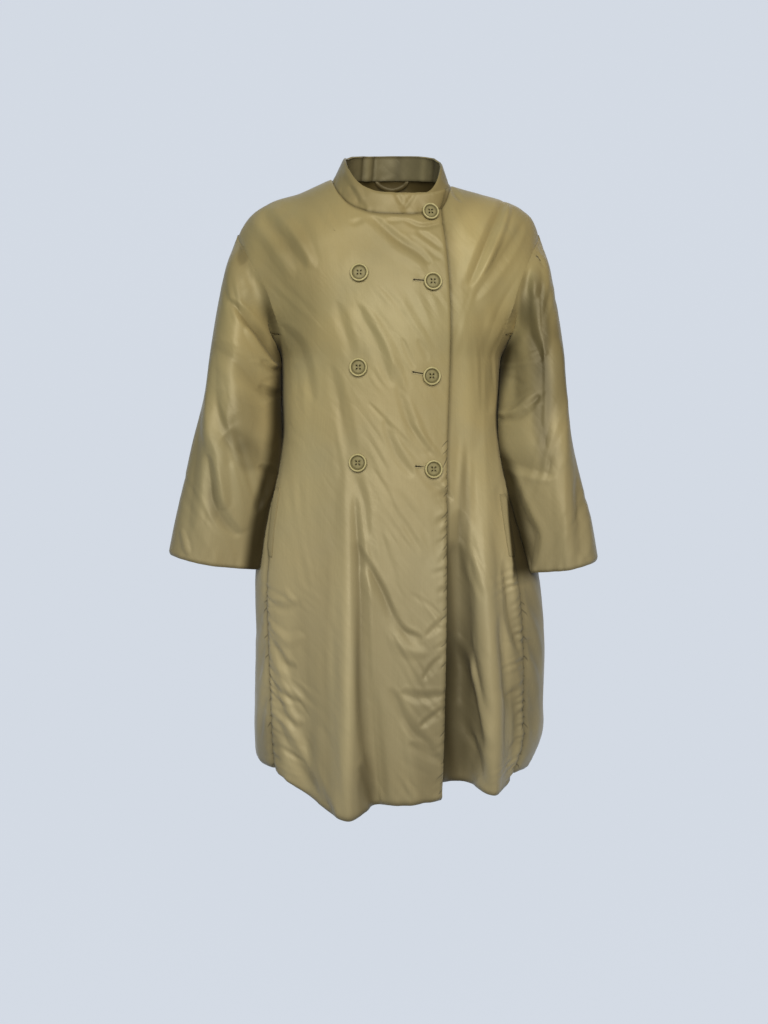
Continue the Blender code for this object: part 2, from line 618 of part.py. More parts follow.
def main():
    """Builds every piece of the coat."""
    for old in list(bpy.data.objects):
        bpy.data.objects.remove(old)
    fronts = {}
    for name, side in (("front_right", -1), ("front_left", 1)):
        grid, normals = front_grid(side)
        fronts[side] = (grid, normals)
        mesh = cloth_mesh(name, grid + normals * (WALL / 2), grid - normals * (WALL / 2))
        add_object(name, mesh, CLOTH, 0.5)
    back, normals, dropped = back_grid()
    mesh = cloth_mesh("back", back + normals * (WALL / 2), back - normals * (WALL / 2), dropped)
    add_object("back", mesh, CLOTH, 0.5)
    for name, side in (("sleeve_right", -1), ("sleeve_left", 1)):
        grid, normals = sleeve_grid(side)
        outer = grid + normals * (WALL / 2)
        mesh = cloth_mesh(name, outer, grid - normals * (WALL / 2), closed=True)
        add_object(name, mesh, CLOTH, 0.5)
    grid, normals = collar_grid(fronts[-1][0], back, fronts[1][0])
    half = COLLAR_WALL / 2
    add_object("collar", cloth_mesh("collar", grid + normals * half, grid - normals * half), CLOTH, 0.5)
    for (name, top, foot, near, far), side in zip(POCKETS, (-1, 1)):
        add_pocket(name, top, foot, near, far, *fronts[side])
    add_loop()
    add_buttons()


main()
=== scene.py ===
"""Looks of a double-breasted coat with a stand collar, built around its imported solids."""

import json
import logging
import math
from dataclasses import dataclass, field
from enum import Enum
from itertools import product
from typing import Any, Callable

import bmesh
import bpy
import numpy as np
from mathutils import Matrix, Vector
from mathutils.bvhtree import BVHTree

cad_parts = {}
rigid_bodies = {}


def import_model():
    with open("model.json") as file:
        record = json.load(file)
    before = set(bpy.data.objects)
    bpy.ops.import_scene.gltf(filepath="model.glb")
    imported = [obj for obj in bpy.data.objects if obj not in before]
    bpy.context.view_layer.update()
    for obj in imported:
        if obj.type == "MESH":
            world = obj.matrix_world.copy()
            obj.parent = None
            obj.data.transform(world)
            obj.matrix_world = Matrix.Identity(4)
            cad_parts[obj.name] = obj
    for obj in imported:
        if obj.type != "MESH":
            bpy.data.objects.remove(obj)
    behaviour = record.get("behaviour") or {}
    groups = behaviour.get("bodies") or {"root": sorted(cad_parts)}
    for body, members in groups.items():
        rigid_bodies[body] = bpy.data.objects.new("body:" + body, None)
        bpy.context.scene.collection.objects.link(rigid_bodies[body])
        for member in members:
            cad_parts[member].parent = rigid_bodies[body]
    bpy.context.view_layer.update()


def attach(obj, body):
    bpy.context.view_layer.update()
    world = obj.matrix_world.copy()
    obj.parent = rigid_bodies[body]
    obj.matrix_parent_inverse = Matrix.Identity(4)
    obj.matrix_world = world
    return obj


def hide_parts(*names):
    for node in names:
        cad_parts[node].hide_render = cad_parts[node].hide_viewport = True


LOG = logging.getLogger("coat")
Array = np.ndarray
Table = tuple[tuple[float, ...], ...]
Pair = tuple[float, float]
Triple = tuple[float, float, float]
Colour = Triple
Material = bpy.types.Material
Object = bpy.types.Object
Socket = bpy.types.NodeSocket
Shape = bmesh.types.BMesh
MM = 0.001

# Driving dimensions in metres. +Z up, the front faces -Y, +X is the wearer's left.
CLOTH_THICKNESS = 0.0013
COLLAR_THICKNESS = 0.0024
LAP_INSET = 0.0055
LAP_INSET_GROWTH = 0.020
FLATNESS = 0.85
LOW_FLATNESS = 0.66
SHOULDER_ROLL = 0.09
FOLD_BELL = 0.62
TIP_HEIGHT = -0.068
COLLAR_RISE = 0.0355
BUTTON_RADIUS = 0.013
BUTTON_LIFT = 0.0006
SLEEVE_CLEAR = 0.0030
SLEEVE_FLATNESS = 0.78
SLEEVE_SET_BACK = 0.022
SLEEVE_WRAP = 0.030
ARM_TUCK = 0.021
WALL = 0.002
SEAM_FADE = 0.012
SEAM_TUCK = 0.0016
FAR_AWAY = 0.1
CREASE_GAIN = 1.15
SLEEVE_GAIN = 1.1
CREASE_ROUND = 0.0014
CREASE_RUN_OUT = 0.35
CREASE_REACH = 3.2
LINE_STEPS = 6
LATTICE = 64
NOISE_GAIN = 1.4
DENT_SHADE = 0.35
FOLD_SHADE = 0.9
BASE_SHADE = 0.25
GAP_SHADE = 0.97
EDGE_SHADE = 0.45
DENT_DEPTH = 0.006
DENT_SPARED = 0.0008
SEAM_DEPTH = 0.0016
NECK_SEAM_DEPTH = 0.0008
SEAM_WIDTH = 0.0035
HEM_SHADE_WIDTH = 0.007
SEAM_SHADE = 0.6
TINY = 1e-6
NO_LENGTH = 1e-12
NO_SQUARE = 1e-14
MERGE_DISTANCE = 1e-7
WHITE = (1.0, 1.0, 1.0)
# Turned edges: reach, depth
HEM_TURN: Pair = (0.006, 0.0026)
CUFF_TURN: Pair = (0.005, 0.0022)
COLLAR_TURN: Pair = (0.004, 0.0012)
COLLAR_END_TURN: Pair = (0.005, 0.0012)
# Levels counted down from the neck: where something starts, where it is whole
FLAT_SECTIONS: Pair = (0.16, 0.34)
TUCK_TOP: Pair = (0.20, 0.25)
TUCK_FOOT: Pair = (0.34, 0.50)
GAP_TOP: Pair = (0.205, 0.235)
GAP_FOOT: Pair = (0.545, 0.575)
LIT_SIDES: Pair = (0.20, 0.32)
LOWER_PART: Pair = (0.30, 0.60)
BELOW_ARM: Pair = (0.42, 0.50)
SEAM_PUCKERED: Pair = (0.55, 0.58)
EDGE_PUCKERED: Pair = (0.33, 0.36)
LAP_WIDENS: Pair = (0.03, 0.12)
LAP_DEEPENS: Pair = (0.42, 0.85)
LAP_SHADOW_WIDENS: Pair = (0.45, 0.85)
LAP_SHADOW_DARKENS: Pair = (0.42, 0.80)
# Shares and distances over which shade or light fades: from, to
SPOT_EDGE: Pair = (0.55, 1.15)
LIT_SHARES: Pair = (0.40, 0.88)
BODY_GAP_EDGE: Pair = (-0.002, 0.002)
SLEEVE_GAP_EDGE: Pair = (-0.003, 0.014)
# Creases near a button: share that is left, radii from which they start and are whole again
BUTTON_CALM: Triple = (0.1, 0.8, 2.2)
# Dent under a button: depth, width in radii
BUTTON_DENT: Pair = (0.0009, 1.1)

# Body sections: height, middle, half width, front depth, back depth
SECTIONS: Table = (
    (0.10, -0.0055, 0.2195, 0.066, 0.058),
    (0.03, -0.0055, 0.2195, 0.070, 0.062),
    (-0.068, -0.0055, 0.2195, 0.096, 0.088),
    (-0.12, -0.0035, 0.2120, 0.112, 0.100),
    (-0.16, 0.0000, 0.1990, 0.120, 0.105),
    (-0.20, 0.0000, 0.1850, 0.125, 0.107),
    (-0.25, -0.0015, 0.1800, 0.128, 0.107),
    (-0.33, -0.0030, 0.1785, 0.130, 0.107),
    (-0.40, -0.0010, 0.1815, 0.134, 0.113),
    (-0.47, 0.0000, 0.1905, 0.140, 0.124),
    (-0.55, 0.0065, 0.2065, 0.147, 0.137),
    (-0.65, 0.0115, 0.2125, 0.152, 0.148),
    (-0.75, 0.0105, 0.2135, 0.153, 0.152),
    (-0.80, 0.0095, 0.2130, 0.152, 0.150),
    (-0.83, 0.0050, 0.2065, 0.150, 0.147),
    (-0.86, 0.0020, 0.1950, 0.147, 0.143),
    (-0.92, 0.0030, 0.1900, 0.143, 0.138),
)
# Shoulder line across the coat, carried on over the neck: across, front height, back height
SHOULDER_LINE: Table = (
    (-0.225, -0.068, -0.068), (-0.209, -0.045, -0.045), (-0.178, -0.023, -0.023),
    (-0.134, -0.009, -0.009), (-0.089, 0.011, 0.011), (-0.070, 0.018, 0.032),
    (-0.045, 0.026, 0.059), (0.000, 0.040, 0.108), (0.043, 0.022, 0.056),
    (0.068, 0.009, 0.026), (0.086, 0.002, 0.002),
    (0.128, -0.010, -0.010), (0.163, -0.020, -0.020), (0.190, -0.033, -0.033),
    (0.205, -0.048, -0.048), (0.214, -0.068, -0.068),
)
# Neck line: across, front height, back height
NECK_LINE: Table = (
    (-0.089, 0.011, 0.011), (-0.080, -0.007, 0.013), (-0.067, -0.024, 0.015),
    (-0.039, -0.040, 0.017), (0.000, -0.045, 0.018), (0.039, -0.044, 0.017),
    (0.058, -0.041, 0.015), (0.070, -0.033, 0.012), (0.079, -0.018, 0.008),
    (0.086, 0.002, 0.002),
)
NECK_RIGHT = NECK_LINE[0][0]
NECK_LEFT = NECK_LINE[-1][0]
# Edge of the right front: height, across
FRONT_EDGE: Table = (
    (0.00, 0.069), (-0.04, 0.069), (-0.09, 0.075), (-0.12, 0.078), (-0.40, 0.077),
    (-0.60, 0.0755), (-0.75, 0.073), (-0.88, 0.070),
)
UNDER_EDGE = -0.066
# Side seams: height, degrees round from the front on the right, on the left
SIDE_SEAM: Table = (
    (-0.215, 62, 62), (-0.25, 70, 70), (-0.30, 78, 78), (-0.38, 75, 72),
    (-0.45, 67, 63), (-0.52, 64.5, 57.5), (-0.60, 65, 56.5),
    (-0.75, 61, 57), (-0.90, 57, 60),
)
# Armhole on the fronts and on the back: height, degrees round from the front
FRONT_ARMHOLE: Table = (
    (-0.215, 62), (-0.18, 60), (-0.145, 60.5), (-0.11, 66), (-0.085, 76), (-0.068, 90),
)
BACK_ARMHOLE: Table = ((-0.165, 117), (-0.12, 115), (-0.09, 105), (-0.068, 90))
# Foot of the armhole, carried on across the back: degrees round from the front, height
UNDERARM: Table = (
    (62, -0.215), (76, -0.212), (90, -0.206), (104, -0.195), (113, -0.180),
    (117, -0.165), (140, -0.155), (180, -0.150),
)
UNDERARM_TURN = 117.0
# Hems: across, height
HEM_RIGHT: Table = (
    (-0.175, -0.838), (-0.158, -0.850), (-0.138, -0.864), (-0.113, -0.880), (-0.085, -0.894),
    (-0.058, -0.896), (-0.033, -0.885), (-0.018, -0.881), (0.022, -0.878), (0.047, -0.875),
    (0.070, -0.873),
)
HEM_LEFT: Table = (
    (-0.07, -0.850), (0.076, -0.852), (0.097, -0.860), (0.113, -0.862), (0.130, -0.864),
    (0.143, -0.866), (0.155, -0.867), (0.170, -0.862), (0.186, -0.849), (0.190, -0.848),
)
HEM_BACK = -0.846
HEM_BACK_RISE = 0.008
# Largest folds: top and foot height, across at the top and at the foot, half width, height out
FRONT_FOLDS: Table = (
    (-0.40, -0.90, -0.052, -0.062, 0.040, 0.024),
    (-0.50, -0.90, -0.044, -0.018, 0.022, -0.013),
    (-0.52, -0.90, -0.125, -0.128, 0.030, -0.010),
    (-0.62, -0.90, 0.020, 0.028, 0.030, 0.007),
    (-0.42, -0.88, 0.092, 0.102, 0.026, -0.010),
    (-0.40, -0.88, 0.126, 0.143, 0.030, 0.017),
)
BACK_FOLDS: Table = (
    (-0.35, -0.88, -0.075, -0.095, 0.042, 0.012),
    (-0.40, -0.88, -0.020, -0.025, 0.034, -0.010),
    (-0.35, -0.88, 0.050, 0.062, 0.042, 0.012),
    (-0.45, -0.88, 0.110, 0.125, 0.034, -0.008),
)
# Sleeve sections down to the cuff: outer across and height, inner across and height, middle
# depth, half depth
SLEEVE_RIGHT: Table = (
    (-0.237, -0.105, -0.174, -0.222, -0.008, 0.066),
    (-0.249, -0.156, -0.177, -0.246, -0.014, 0.070),
    (-0.261, -0.226, -0.178, -0.282, -0.024, 0.070),
    (-0.271, -0.301, -0.177, -0.330, -0.040, 0.066),
    (-0.288, -0.371, -0.176, -0.387, -0.052, 0.062),
    (-0.301, -0.431, -0.183, -0.442, -0.057, 0.060),
    (-0.312, -0.478, -0.190, -0.494, -0.059, 0.058),
    (-0.322, -0.527, -0.199, -0.553, -0.060, 0.056),
)
SLEEVE_LEFT: Table = (
    (0.225, -0.105, 0.174, -0.222, -0.008, 0.066),
    (0.236, -0.160, 0.175, -0.250, -0.014, 0.070),
    (0.246, -0.230, 0.173, -0.288, -0.024, 0.070),
    (0.250, -0.310, 0.168, -0.345, -0.042, 0.066),
    (0.259, -0.371, 0.170, -0.397, -0.054, 0.062),
    (0.274, -0.433, 0.178, -0.450, -0.059, 0.060),
    (0.287, -0.482, 0.190, -0.500, -0.062, 0.058),
    (0.297, -0.535, 0.202, -0.557, -0.064, 0.056),
)
# Buttons: node, across, height, size against the full button
BUTTONS = (
    ("button_right_1", -0.046, -0.129, 1.0), ("button_right_2", -0.047, -0.260, 1.0),
    ("button_right_3", -0.048, -0.393, 1.0), ("button_left_1", 0.056, -0.141, 1.0),
    ("button_left_2", 0.054, -0.272, 1.0), ("button_left_3", 0.057, -0.402, 1.0),
)
COLLAR_BUTTON = ("button_collar", 0.052, -0.044, 0.93)
COLLAR_BUTTON_LIFT = 0.0042
COLLAR_BUTTON_TILT = math.radians(17)


class Side(Enum):
    """Side of the coat as its wearer has it."""

    RIGHT = -1
    LEFT = 1

    def pick(self, right: Any, left: Any) -> Any:
        """Choose between a thing of the right side and one of the left."""
        return right if self is Side.RIGHT else left


class Profile(Enum):
    """How a crease falls away from its line."""

    SOFT = "soft"
    CRISP = "crisp"
    TUCK = "tuck"


SOFT, CRISP, TUCK = Profile
# Creases: profile, half width, height out of the cloth, then the line's places across and up, all
# in millimetres
FRONT_CREASES = (
    (SOFT, 11, 3, (-67, -444), (-65, -584), (-64, -726), (-61, -892)),
    (CRISP, 8, -5.5, (-51, -472), (-45, -584), (-41, -726), (-33, -815), (-24, -879)),
    (SOFT, 13, 2.5, (-29, -584), (-20, -698), (-6, -812), (-1, -879)),
    (TUCK, 10, -4, (-43, -518), (-16, -568), (9, -621), (34, -635)),
    (CRISP, 8, 2.5, (-37, -552), (-12, -601), (13, -648), (39, -658)),
    (CRISP, 6, -3, (4, -722), (26, -765), (52, -792)),
    (CRISP, 6, -2.2, (18, -716), (42, -722), (66, -718)),
    (CRISP, 6, -2.2, (29, -790), (49, -802), (69, -813)),
    (CRISP, 4, -2, (46, -691), (56, -677), (66, -667)),
    (CRISP, 4, -1.8, (50, -632), (60, -622), (70, -612)),
    (CRISP, 4, -2, (42, -760), (56, -749), (70, -738)),
    (CRISP, 6, -2, (-55, -402), (-42, -444), (-37, -486)),
    (CRISP, 7, -3, (-43, -827), (-34, -863), (-26, -887)),
    (SOFT, 11, 2, (-105, -783), (-99, -834), (-83, -879)),
    (CRISP, 7, -2, (-123, -798), (-108, -848), (-88, -882)),
    (CRISP, 6, -2, (-171, -598), (-153, -602), (-135, -594)),
    (CRISP, 7, 2, (-170, -632), (-151, -648), (-130, -641)),
    (CRISP, 6, -2.5, (-169, -658), (-156, -680), (-141, -686)),
    (CRISP, 7, 2.5, (-166, -672), (-154, -709), (-133, -726)),
    (CRISP, 6, -3, (-168, -719), (-157, -749), (-143, -768)),
    (CRISP, 7, 2, (-162, -726), (-144, -758), (-129, -763)),
    (CRISP, 8, -3, (-160, -776), (-139, -815), (-114, -856)),
    (SOFT, 10, 2.5, (-147, -776), (-123, -819), (-100, -863)),
    (SOFT, 13, -7, (94, -480), (95, -540), (96, -612), (94, -712)),
    (SOFT, 14, 3, (131, -360), (133, -500), (135, -641), (142, -755), (144, -856)),
    (CRISP, 7, -4, (84, -648), (105, -706), (124, -776)),
    (CRISP, 7, 2, (95, -655), (116, -712), (135, -776)),
    (CRISP, 6, -2.5, (85, -698), (98, -748), (110, -791)),
    (CRISP, 7, -3, (78, -726), (88, -791), (94, -838)),
    (CRISP, 7, 3, (153, -563), (156, -619), (171, -669), (181, -712)),
    (CRISP, 6, -3, (161, -549), (167, -605), (175, -648)),
    (CRISP, 8, -2, (110, -791), (124, -819), (137, -853)),
    (SOFT, 10, 2.5, (151, -726), (163, -769), (159, -827)),
    (CRISP, 7, -2.5, (173, -726), (177, -769), (172, -812)),
    (CRISP, 5, -2.5, (-24, -53), (6, -81), (34, -98), (49, -112)),
    (CRISP, 7, 1.5, (-34, -63), (-1, -94), (31, -115), (44, -126)),
    (CRISP, 4, -1.8, (38, -72), (56, -85), (66, -93)),
    (CRISP, 4, -1.2, (28, -82), (48, -96), (64, -107)),
    (CRISP, 3, -2, (20, -56), (41, -64), (67, -59)),
    (CRISP, 3, -1, (-56, -59), (-45, -55)),
    (CRISP, 3, -1, (-6, -56), (9, -55)),
    (CRISP, 3, -2.2, (86, -4), (90, -12), (97, -22)),
    (CRISP, 6, -2.2, (5, -272), (19, -322), (33, -357), (53, -385)),
    (CRISP, 3, -0.9, (15, -225), (22, -243), (29, -258)),
    (CRISP, 3, -0.8, (37, -225), (44, -237), (49, -248)),
    (CRISP, 6, -2, (-8, -345), (5, -381), (23, -405)),
    (CRISP, 7, -2, (-44, -185), (-22, -225), (-5, -272)),
    (CRISP, 7, -1.5, (-74, -185), (-58, -236)),
    (CRISP, 8, -1.8, (-80, -285), (-58, -378)),
    (CRISP, 5, -2.2, (39, -402), (53, -419), (77, -440)),
    (CRISP, 8, 1.5, (-31, -192), (-6, -236), (10, -285)),
    (CRISP, 6, 1.2, (17, -305), (36, -347), (47, -370)),
    (SOFT, 10, -3, (-180, -46), (-154, -80), (-130, -113)),
    (CRISP, 8, 2, (-164, -39), (-137, -74), (-115, -111)),
    (CRISP, 8, 1.5, (-197, -54), (-170, -89), (-146, -125)),
    (CRISP, 7, -4.5, (156, -33), (135, -80), (114, -130)),
    (CRISP, 6, 2.5, (164, -39), (149, -75), (131, -116)),
    (CRISP, 7, -2.5, (180, -66), (154, -106), (124, -150)),
    (CRISP, 8, 1.5, (145, -33), (122, -80), (101, -129)),
    (SOFT, 14, 2, (98, -167), (105, -250), (108, -347)),
    (SOFT, 13, -2, (130, -208), (133, -305), (137, -403)),
    (CRISP, 8, -2, (-152, -208), (-129, -236), (-115, -292)),
    (CRISP, 8, -2, (166, -208), (150, -243), (142, -305)),
)
SLEEVE_RIGHT_CREASES = (
    (SOFT, 12, -4.5, (-214, -93), (-192, -134), (-179, -172), (-167, -219), (-163, -248)),
    (CRISP, 6, -6, (-227, -170), (-210, -188), (-192, -210), (-180, -232), (-169, -251)),
    (CRISP, 6, 4, (-203, -209), (-189, -229), (-172, -253)),
    (CRISP, 14, -4, (-246, -236), (-215, -257), (-193, -283), (-180, -302)),
    (SOFT, 18, -4, (-176, -372), (-200, -363), (-226, -350), (-241, -334), (-248, -302)),
    (SOFT, 16, -3.5, (-233, -363), (-209, -380), (-185, -391)),
    (CRISP, 9, 4, (-259, -257), (-262, -306), (-259, -347), (-247, -384), (-241, -436), (-239, -455)),
    (CRISP, 8, -5, (-260, -391), (-257, -419), (-253, -448), (-239, -475), (-223, -494)),
    (SOFT, 12, 3, (-222, -405), (-216, -448), (-217, -484)),
    (SOFT, 10, -3, (-271, -278), (-278, -363), (-284, -419), (-288, -476)),
    (CRISP, 4, 2, (-298, -494), (-293, -512), (-290, -522)),
    (CRISP, 4, -3, (-184, -254), (-168, -265), (-157, -251)),
    (CRISP, 4, -3, (-184, -288), (-170, -296), (-160, -298)),
    (CRISP, 6, -4, (-185, -402), (-178, -416), (-191, -455)),
)
SLEEVE_LEFT_CREASES = (
    (CRISP, 7, 3, (198, -58), (200, -113), (201, -152)),
    (CRISP, 8, -4, (188, -110), (187, -165), (193, -206), (206, -241)),
    (SOFT, 18, -5, (212, -158), (211, -220), (211, -276), (210, -340), (221, -389)),
    (CRISP, 12, 5, (237, -241), (240, -312), (241, -410), (246, -549)),
    (CRISP, 5, -4, (147, -334), (176, -330), (199, -306)),
    (CRISP, 5, 2.5, (148, -329), (176, -324), (196, -305)),
    (TUCK, 16, -3.2, (220, -409), (188, -401), (161, -393)),
    (CRISP, 8, -5, (170, -421), (187, -471), (200, -502), (196, -542)),
    (SOFT, 9, -3, (264, -428), (266, -473), (267, -516)),
    (CRISP, 3, -2, (198, -79), (197, -106)),
    (SOFT, 10, -3, (176, -248), (176, -291), (166, -322)),
)
BACK_CREASES = (
    (SOFT, 14, 2.5, (-88, -60), (0, -78), (92, -58)),
    (SOFT, 11, -3, (-168, -170), (-128, -235), (-84, -300)),
    (SOFT, 10, 2, (-162, -150), (-118, -212), (-66, -285)),
    (SOFT, 11, -3, (170, -168), (126, -240), (96, -330)),
    (SOFT, 10, 2, (160, -148), (112, -215), (74, -300)),
    (SOFT, 9, -2.5, (-30, -300), (-44, -420), (-40, -560)),
    (SOFT, 12, 3, (-74, -360), (-86, -560), (-96, -838)),
    (SOFT, 9, -3.5, (-46, -480), (-58, -640), (-60, -838)),
    (SOFT, 10, 3, (20, -420), (10, -600), (14, -836)),
    (SOFT, 8, -3, (44, -560), (36, -700), (40, -838)),
    (SOFT, 12, 3, (92, -400), (104, -600), (112, -838)),
    (SOFT, 9, -3, (128, -470), (146, -640), (150, -830)),
    (CRISP, 6, -2, (-130, -390), (-92, -432), (-60, -440)),
    (CRISP, 6, -2, (132, -380), (100, -420), (66, -424)),
)
SIDE_CREASES = (
    (CRISP, 5, -2.2, (190, -570), (201, -598), (214, -632)),
    (CRISP, 4, 1.6, (191, -605), (203, -630), (214, -668)),
    (CRISP, 5, -2.6, (189, -640), (200, -658), (213, -694)),
    (CRISP, 4, 1.8, (190, -668), (202, -692), (211, -728)),
    (CRISP, 5, -2.6, (189, -702), (199, -730), (207, -772)),
    (CRISP, 4, -2, (190, -745), (200, -770), (206, -806)),
    (CRISP, 4, -2, (-180, -590), (-189, -612), (-197, -650)),
    (CRISP, 4, -2.2, (-178, -650), (-187, -668), (-194, -706)),
    (CRISP, 4, 1.6, (-178, -690), (-187, -714), (-194, -748)),
    (CRISP, 4, -2.2, (-177, -728), (-186, -752), (-192, -792)),
)
COLLAR_CREASES = (
    (CRISP, 4, -1.9, (-57, -9), (-48, -25), (-40, -36)),
    (CRISP, 3, -1.4, (5, -16), (12, -29)),
    (CRISP, 3, -1.4, (30, -18), (19, -34)),
    (CRISP, 4, 1.4, (-64, 14), (-51, -7), (-44, -24)),
)
# Upright folds in the back of the collar: across, half width, depth seen from inside
COLLAR_FOLDS: Table = (
    (-0.046, 0.0030, 0.0022), (-0.038, 0.0040, -0.0014), (-0.030, 0.0024, 0.0016),
    (0.006, 0.0060, 0.0008), (0.043, 0.0050, -0.0010), (0.058, 0.0030, 0.0020),
)
# Creases of the left front alone, deep in the hollow beside the lap
LEFT_CREASES = (
    (SOFT, 24, -13, (86, -540), (92, -650), (99, -780), (100, -900)),
    (SOFT, 15, 5, (128, -520), (136, -660), (144, -780), (146, -900)),
    (CRISP, 8, -4, (150, -640), (158, -740), (156, -860)),
)
# Creases of the right front alone, towards its edge
RIGHT_CREASES = (
    (SOFT, 26, 5, (70, -560), (68, -700), (66, -900)),
)
# Gaps between body and sleeves painted dark, as painted shade: height, across at the body, across at the
# sleeve
GAP_RIGHT: Table = (
    (-0.22, -0.159, -0.164), (-0.25, -0.157, -0.162), (-0.30, -0.157, -0.169), (-0.36, -0.156, -0.171),
    (-0.41, -0.168, -0.180), (-0.44, -0.178, -0.187), (-0.48, -0.180, -0.197), (-0.54, -0.196, -0.206),
)
GAP_LEFT: Table = (
    (-0.21, 0.174, 0.176), (-0.25, 0.166, 0.167), (-0.30, 0.152, 0.153), (-0.335, 0.149, 0.149),
    (-0.385, 0.158, 0.158), (-0.40, 0.164, 0.166), (-0.44, 0.164, 0.175), (-0.475, 0.165, 0.183),
    (-0.51, 0.168, 0.191), (-0.54, 0.171, 0.193),
)
# Broad spots of the front painted darker, as painted shade: across, height, half width, half height, share
PAINTED_SHADE_SPOTS: Table = (
    (-0.146, -0.150, 0.056, 0.120, 0.20), (0.052, -0.760, 0.030, 0.130, 0.22),
    (0.092, -0.745, 0.022, 0.140, 0.46), (-0.036, -0.860, 0.016, 0.060, 0.32),
    (-0.178, -0.815, 0.024, 0.060, 0.30), (0.095, -0.640, 0.020, 0.120, 0.10),
    (0.192, -0.680, 0.030, 0.180, 0.34), (0.101, -0.470, 0.010, 0.100, 0.30),
    (-0.130, -0.690, 0.016, 0.110, 0.10), (0.020, -0.105, 0.095, 0.085, 0.11),
)
# Broad spots of the front painted lighter, as painted light: across, height, half width, half height, share
PAINTED_LIGHT_SPOTS: Table = (
    (-0.072, -0.700, 0.020, 0.220, 0.85), (0.112, -0.090, 0.030, 0.060, 0.75),
    (0.140, -0.050, 0.040, 0.040, 0.50), (-0.160, -0.050, 0.040, 0.040, 0.35),
)
# Broad spots of the sleeves painted darker, as painted shade: across, height, half width, half height, share
SLEEVE_RIGHT_PAINTED_SHADE: Table = (
    (-0.204, -0.385, 0.022, 0.026, 0.30), (-0.253, -0.449, 0.010, 0.032, 0.20),
    (-0.214, -0.099, 0.010, 0.020, 0.28), (-0.215, -0.130, 0.030, 0.050, 0.12),
    (-0.214, -0.335, 0.028, 0.045, 0.22),
)
SLEEVE_LEFT_PAINTED_SHADE: Table = (
    (0.208, -0.200, 0.019, 0.085, 0.56), (0.211, -0.306, 0.017, 0.075, 0.48),
    (0.218, -0.377, 0.018, 0.034, 0.22), (0.190, -0.166, 0.010, 0.045, 0.34),
    (0.229, -0.260, 0.020, 0.080, 0.34), (0.186, -0.260, 0.016, 0.075, 0.34),
)
# Strewn creases: across and height at the low corner and at the high one, count, degrees from
# level, spread in degrees, length, half width, height out, seed, all in millimetres
FRONT_STREWN = (
    ((10, -850), (60, -540), 6, -46, 10, 60, 2.8, 0.8, 101),
    ((-168, -850), (-120, -580), 8, -30, 16, 44, 2.8, 0.9, 103),
    ((76, -840), (150, -540), 6, -74, 10, 90, 3.2, 0.9, 105),
    ((155, -840), (185, -560), 6, 22, 16, 40, 2.8, 1, 106),
    ((-20, -460), (70, -100), 7, -54, 8, 70, 2.8, 0.8, 107),
)
# Ripples of straight creases: across and height at the low corner and at the high one, degrees
# from level, spacing, height out, seed, all in millimetres
FRONT_RIPPLES = (
    ((5, -880), (48, -430), -54, 15, 0.8, 131), ((-45, -870), (30, -470), -72, 20, 0.8, 132),
    ((-175, -870), (-110, -560), -35, 14, 0.9, 133), ((80, -860), (150, -480), -72, 17, 1, 134),
    ((150, -850), (190, -540), 25, 13, 1, 135), ((-30, -440), (75, -150), -54, 17, 0.7, 136),
    ((-170, -220), (-70, -30), -50, 26, 0.6, 137), ((85, -230), (175, -30), -115, 20, 0.8, 138),
    ((-150, -560), (-60, -220), -84, 22, 0.45, 139), ((85, -480), (150, -220), -89, 18, 0.5, 140),
)
BACK_RIPPLES = (
    ((-170, -840), (170, -380), -84, 24, 0.8, 141), ((-160, -380), (0, -60), -58, 24, 0.7, 142),
    ((0, -380), (160, -60), 58, 24, 0.7, 143),
)
SLEEVE_RIPPLES = (((170, -560), (310, -140), 76, 22, 0.6, 144),)
SLEEVE_STREWN = (
    ((165, -330), (205, -240), 7, 22, 22, 36, 2.8, 0.9, 122),
    ((200, -545), (300, -420), 5, 72, 14, 80, 3.6, 0.6, 124),
)


def hermite(knots: Array, values: Array, slopes: Array, at: Array) -> Array:
    """Carry smooth curves through values.

    Args:
        knots: Places of the values, rising.
        values: Values at the knots, one a row.
        slopes: Slopes at the knots.
        at: Places to read at.

    Returns:
        The values at those places.
    """
    low = np.clip(np.searchsorted(knots, at) - 1, 0, len(knots) - 2)
    spread = (..., *[None] * (values.ndim - 1))
    step = (knots[low + 1] - knots[low])[spread]
    t = (at - knots[low])[spread] / step
    start = values[low] * (1 + 2 * t) * (1 - t) ** 2 + slopes[low] * step * t * (1 - t) ** 2
    end = values[low + 1] * t * t * (3 - 2 * t) - slopes[low + 1] * step * t * t * (1 - t)
    return start + end


def read(table: Table, column: int, at: Array) -> Array:
    """Read a smooth curve through one column of a table, by its first column.

    Args:
        table: Rows of numbers.
        column: Which column to read.
        at: Places along the first column.

    Returns:
        The values there.
    """
    rows = np.array(table, dtype=float)
    rows = rows[np.argsort(rows[:, 0])]
    knots, values = rows[:, 0], rows[:, column]
    at = np.clip(np.asarray(at, dtype=float), knots[0], knots[-1])
    return hermite(knots, values, np.gradient(values, knots), at)


def ease(value: Array, start: Array | float, end: Array | float) -> Array:
    """Step smoothly from 0 at start to 1 at end."""
    t = np.clip((np.asarray(value, dtype=float) - start) / (end - start), 0.0, 1.0)
    return t * t * (3 - 2 * t)


def below(height: Array, levels: Pair) -> Array:
    """Step from 0 to 1 between two levels counted down from the neck."""
    return ease(-np.asarray(height), *levels)


def at_least(low: float, share: Array) -> Array:
    """Lift a share so that it starts at a low value."""
    return low + (1 - low) * share


def bell(distance: Array, width: float) -> Array:
    """Fall from 1 at no distance, as a bell curve."""
    return np.exp(-(distance / width) ** 2)


def unit(vectors: Array) -> Array:
    """Scale vectors to a length of one."""
    return vectors / np.maximum(np.linalg.norm(vectors, axis=-1, keepdims=True), NO_LENGTH)


